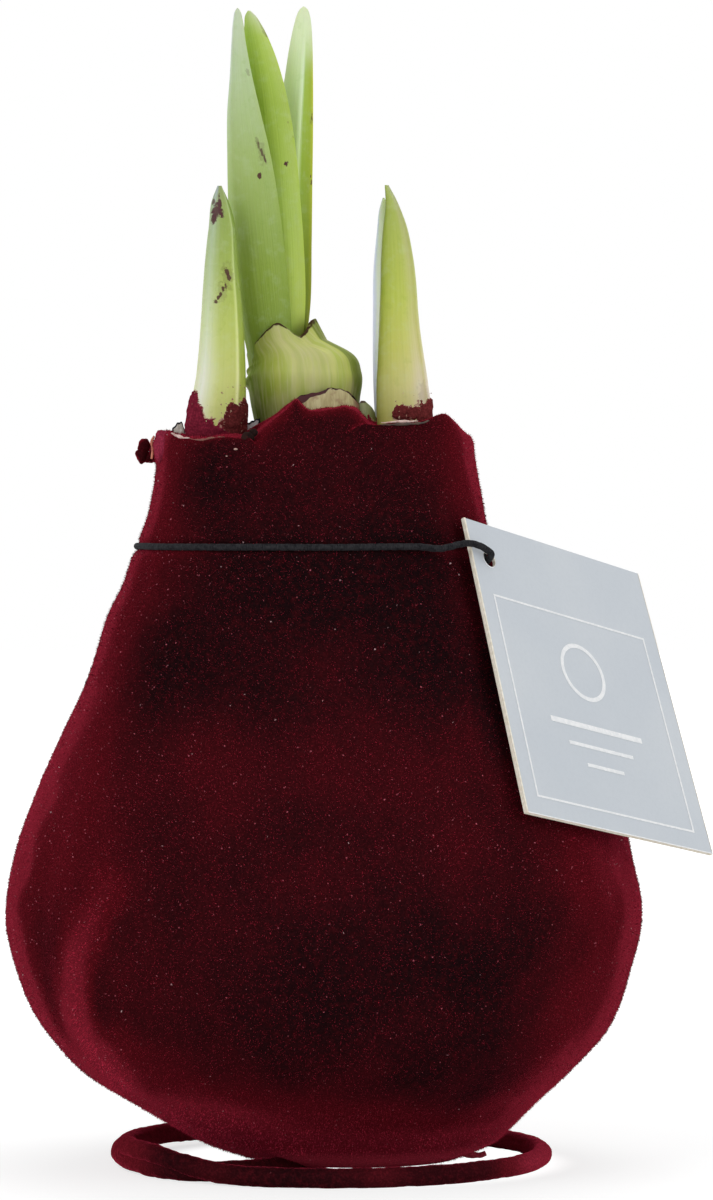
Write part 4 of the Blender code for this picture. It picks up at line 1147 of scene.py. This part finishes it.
def wax_seams():
    """Bare wax and torn edges where the flock ends, as thin uneven beads on the rim, and two pale crumbs
    lower on the neck that are partly painted highlights.
    """
    build = Build()
    bare, tear, rust = range(3)
    for start, end, radius, lift, out, slot in (
            (-156, -142, 0.17, 0.02, 0.2, bare), (-142, -124, 0.13, 0, 0.3, rust),
            (-65, -49, 0.2, 0.1, 0.1, bare), (-66, -44, 0.17, -0.22, 0.45, tear),
            # these two, low on the neck, are pale wax crumbs that also stand in for glints on the pile:
            # painted highlights
            (-119.2, -117.6, 0.15, -1.8, 0.9, bare), (-122.6, -121.8, 0.09, -2.8, 0.9, bare)):
        path = crest(np.linspace(start, end, 90), lift, out)
        path[:, 2] += 0.1 * lumps(path, 1.1)
        grow = radius * (1 + 0.6 * lumps(path, 0.8)) * np.sqrt(np.sin(np.linspace(0.05, np.pi - 0.05, 90)))
        build.solid(fuzz(tube(path, grow[:, None], 10), 0.05, 0.4), slot)
    build.finish("flock_edge_beads", [wax, torn, rusty], "velvet_flock")


# ---- the cord and the tag


def tag_axes():
    """The tag's own directions: across it, down it and out of its front."""
    turn, lean, roll = np.radians([TAG_TURN, TAG_LEAN, TAG_ROLL])
    front = np.array([np.sin(turn) * np.cos(lean), -np.cos(turn) * np.cos(lean), np.sin(lean)])
    level = np.array([np.cos(turn), np.sin(turn), 0])
    climb = np.array([-np.sin(turn) * np.sin(lean), np.cos(turn) * np.sin(lean), np.cos(lean)])
    across = np.cos(roll) * level - np.sin(roll) * climb
    down = -(np.sin(roll) * level + np.cos(roll) * climb)
    return across, down, front


def tag_point(across, down, out=0):
    """A point of the card, which is slightly twisted."""
    out = out + TAG_TWIST * (across - TAG_WIDTH / 2) * (down - TAG_HEIGHT / 2)
    return TAG_CORNER + xyz(across, down, out) @ np.array(tag_axes())


def neck(angle, out=0, lower=0):
    """The middle of the cord where it lies round the neck."""
    middle, reach = bulb_middle(CORD_Z)
    r = reach + CORD_SEAT + out
    return oval(middle, 0, r, r, np.radians(angle), CORD_Z - lower)


def cord_route():
    hole_across, hole_down, _ = TAG_HOLE
    start, end = KNOT_AT - 4.5, KNOT_AT - 360 + 4.5
    return np.array([
        *[neck(a) for a in np.arange(start, -14, -9)],
        *[neck(*spot) for spot in CORD_BEHIND],
        tag_point(hole_across + 0.1, hole_down, -TAG_THICK - 0.5),
        tag_point(hole_across, hole_down, -TAG_THICK / 2),
        *[tag_point(*spot) for spot in CORD_OVER],
        *[neck(*spot) for spot in CORD_RETURN],
        *[neck(a) for a in np.arange(-71, end, -9)],
        neck(end),
    ])


def cord_paint():
    p = Paint("braided_cord", Roughness=0.85, Specular_IOR_Level=0.05, Sheen_Weight=0.12, Sheen_Roughness=0.5,
              Sheen_Tint=(0.17, 0.17, 0.18, 1))
    strand = p.streaks(6, 900)
    p.paint(p.mix(p.span(p.noise(p.place(), 1500), 0.3, 0.7), (0.008, 0.008, 0.01), (0.026, 0.026, 0.029)))
    p.lay(p.span(strand, 0.45, 0.7, 0, 0.5), (0.056, 0.055, 0.058))
    p.bump(strand, 0.0001, 0.6)
    return p.mat


def cord(mat):
    step, sides = 0.14, 14
    path = smooth_path(cord_route(), step)
    row = np.arange(len(path))[:, None]
    col = np.arange(sides) / sides
    # two sets of strands wind round the cord against each other
    strands = [np.cos(2 * np.pi * (3 * col + way * row * step / 1.5)) for way in (1, -1)]
    radius = CORD_R * (0.88 + 0.06 * np.maximum(*strands))
    path[:, 2] += (0.1 * lumps(path, 11) + 0.2) * smooth(np.abs(path[:, 0] - 22), 5, 10)
    Build().solid(tube(path, radius, sides)).finish("braided_cord", [mat], "cord", "tag_cord")


def knot(mat):
    """Three loops and two cut ends."""
    at = neck(KNOT_AT, 1.77)
    build = Build()
    t = np.linspace(0, 2 * np.pi, 60)
    for phase, lift in ((0, 0.15), (2.1, -0.18), (4.2, 0.03)):
        loop = 0.85 * xyz(np.cos(t), np.sin(t) * np.cos(phase), np.sin(t) * np.sin(phase)) + [0, 0, lift]
        build.grid(tube(at + loop, 0.5 * (1 + 0.06 * np.cos(7 * t))[:, None], 12, (0.3, 0.2, 1)), wrap=True)
    for side in (-1, 1):
        end = smooth_path([at, at + [side, 0.5, -0.8], at + [1.3 * side, 0.3, -1.3]], 0.2)
        build.solid(tube(end, 0.42, 12))
    build.finish("cord_knot_loops", [mat], "cord", "cord_knot")


def card_paint():
    p = Paint("card_face", Roughness=0.38, Specular_IOR_Level=0.5, Coat_Weight=0.25, Coat_Roughness=0.25)
    where = p.place()
    cloud = p.noise(where, 45, 3, 0.5)
    pulp = p.noise(where, 1800)
    p.paint(p.mix(p.span(cloud, 0.3, 0.7), (0.545, 0.59, 0.64), (0.59, 0.63, 0.67)))
    p.lay(p.span(pulp, 0.4, 0.7, 0, 0.12), (0.44, 0.48, 0.53))
    p.bump(pulp, 0.00004, 0.4)
    p.bump(cloud, 0.0003, 0.2)
    return p.mat


def tag():
    """Stiff coated card, cut square, with a punched hole and a plain printed frame."""
    face, core, print_and_highlight = range(3)
    paper = plain("card_core", (0.92, 0.87, 0.76), (0.8, 0.74, 0.6), 1500, 0.8)
    # white for the print, and for painted highlights on the bottom edge and at the hole
    white = plain("white_print_and_painted_highlight", (0.9, 0.91, 0.92), (0.8, 0.82, 0.84), 1400, 0.45)
    hole_across, hole_down, hole_r = TAG_HOLE
    bevel, proud = 0.05, 0.03        # proud is how far the print stands off the card
    # each face is rings that grow from the hole out to the card's straight edge
    corner_at = [np.arctan2(down - hole_down, across - hole_across)
                 for across in (0, TAG_WIDTH) for down in (0, TAG_HEIGHT)]
    angles = np.unique(np.concatenate([np.linspace(-np.pi, np.pi, 97)[:-1], corner_at]))
    c, s = np.cos(angles), np.sin(angles)
    with np.errstate(divide="ignore"):
        edge = np.minimum(np.where(c > 0, TAG_WIDTH - hole_across, hole_across) / np.abs(c),
                          np.where(s > 0, TAG_HEIGHT - hole_down, hole_down) / np.abs(s))

    def ring(r, out=0):
        return tag_point(hole_across + r * c, hole_down + r * s, out)

    inner, outer = hole_r + bevel, edge - bevel
    front = [ring(inner + (outer - inner) * t) for t in np.linspace(0, 1, 17)]
    back = [spot - TAG_THICK * tag_axes()[2] for spot in front[::-1]]
    rim, bore = [[ring(r, out) for out in (-bevel, bevel - TAG_THICK)] for r in (edge, hole_r)]
    build = Build()
    for rings, slot in ((front, face), ([front[-1], *rim, back[0]], core), (back, face),
                        ([back[-1], *bore[::-1], front[0]], core)):
        build.grid(np.array(rings), wrap=True, slot=slot, flip=True)

    def bars(slot, *boxes):
        """Flat bars on the front: left, top, right and bottom."""
        for left, top, right, bottom in boxes:
            across, down = np.meshgrid(np.linspace(left, right, 24), np.linspace(top, bottom, 24))
            build.grid(tag_point(across, down, proud), slot=slot, flip=True)

    def arc(across, down, turn, *radii):
        """A flat ring, or part of one, on the front."""
        rows = [tag_point(across + r * np.cos(turn), down + r * np.sin(turn), proud) for r in radii]
        build.grid(np.array(rows), slot=print_and_highlight)

    # a frame of thin lines, with a plain ring above three rules in it
    line = 0.35
    left, top, right, bottom = 3, 12, TAG_WIDTH - 3, TAG_HEIGHT - 3
    bars(print_and_highlight, (left, top, right, top + line), (left, bottom - line, right, bottom),
         (left, top + line, left + line, bottom - line), (right - line, top + line, right, bottom - line))
    arc(20, 21.5, np.radians(np.arange(65) * 360 / 64), 4.1, 4.8)
    bars(print_and_highlight, (10, 30.5, 30, 31.4), (13, 34, 27, 34.6), (16, 37.2, 24, 37.8))
    # the cut's burr along the left and right edges, and a painted highlight along the bottom edge and round
    # the lower left of the hole
    burr = 0.32
    low = TAG_HEIGHT - 0.6 * burr
    bars(core, (0, 0, burr, TAG_HEIGHT))
    bars(print_and_highlight, (burr, low, TAG_WIDTH, TAG_HEIGHT))
    bars(core, (TAG_WIDTH - 0.4 * burr, 0, TAG_WIDTH, low))
    # a painted highlight round the lower left of the hole
    turn = np.radians(np.linspace(45, 207, 30))
    wide = 0.22 * np.sin(np.linspace(0, np.pi, 30))
    arc(hole_across, hole_down, turn, hole_r + 0.03, hole_r + 0.04 + wide)
    build.finish("tag_card", [card_paint(), paper, white], "card", "tag", sharp=30)


# ---- stage, light and camera


def stage():
    """A white floor that glows a little towards the camera, and a white world round it."""
    half = 3
    mesh = bpy.data.meshes.new("floor")
    corners = [(-half, -half, 0), (half, -half, 0), (half, half, 0), (-half, half, 0)]
    mesh.from_pydata(corners, [], [(0, 1, 2, 3)])
    floor = bpy.data.objects.new("floor", mesh)
    bpy.context.scene.collection.objects.link(floor)
    white = (1, 1, 1, 1)
    p = Paint("floor", Base_Color=(0.92, 0.92, 0.92, 1), Roughness=0.9, Specular_IOR_Level=0.1)
    glow = p.add("Emission", {"Color": white, "Strength": 1.36})
    away = p.add("VectorMath", {0: p.place()}, out=1, operation="LENGTH")
    # the glow is weaker near the bulb so the floor keeps its shadow, and stronger again inside the ring:
    # painted light over the shadow there
    lit = p.sum("ADD", p.span(away, 0.06, 0.32, 0.5, 1), p.span(away, 0.034, 0.027, 0, 0.24))
    share = p.sum("MULTIPLY", p.seen(), lit)
    p.output("Material", p.add("MixShader", {0: share, 1: p.shader.outputs[0], 2: glow}))
    mesh.materials.append(p.mat)

    world = bpy.data.worlds.new("studio")
    bpy.context.scene.world = world
    w = Nodes(world)
    dim, bright = [w.add("Background", {"Color": white, "Strength": power}) for power in (0.47, 1)]
    w.output("World", w.add("MixShader", {0: w.seen(), 1: dim, 2: bright}))


def lamp(name, at, aim, size, power):
    light = bpy.data.lights.new(name, "AREA")
    light.shape = "RECTANGLE"
    light.size, light.size_y = size
    light.energy = power
    obj = bpy.data.objects.new(name, light)
    obj.location = at
    obj.rotation_euler = (Vector(aim) - Vector(at)).to_track_quat("-Z", "Y").to_euler()
    bpy.context.scene.collection.objects.link(obj)


def camera():
    data = bpy.data.cameras.new("camera")
    data.sensor_fit = "VERTICAL"
    data.sensor_height = data.sensor_width = 36
    data.lens = 164
    obj = bpy.data.objects.new("camera", data)
    obj.location = HOME + MM * np.array([3.75, -820, 97.8])
    obj.rotation_euler = (np.radians(90 - 0.93), 0, 0)
    bpy.context.scene.collection.objects.link(obj)
    bpy.context.scene.camera = obj


stage()
lamp("key", (-0.75, -0.85, 0.85), (0, 0, 0.09), (0.8, 0.8), 5.6)
lamp("fill", (0.95, -0.55, 0.45), (0, 0, 0.08), (0.7, 0.9), 3.4)
lamp("over", (0.1, 0.35, 1), (0, 0, 0.1), (0.8, 0.6), 2.8)
camera()

bulb()
stand()
leaves()
left_shoot()
right_shoot()
collar()
cut_scale()
bud()
dry_scales()
wax_seams()
braid = cord_paint()
cord(braid)
knot(braid)
tag()

view = bpy.context.scene.view_settings
view.view_transform = "Standard"
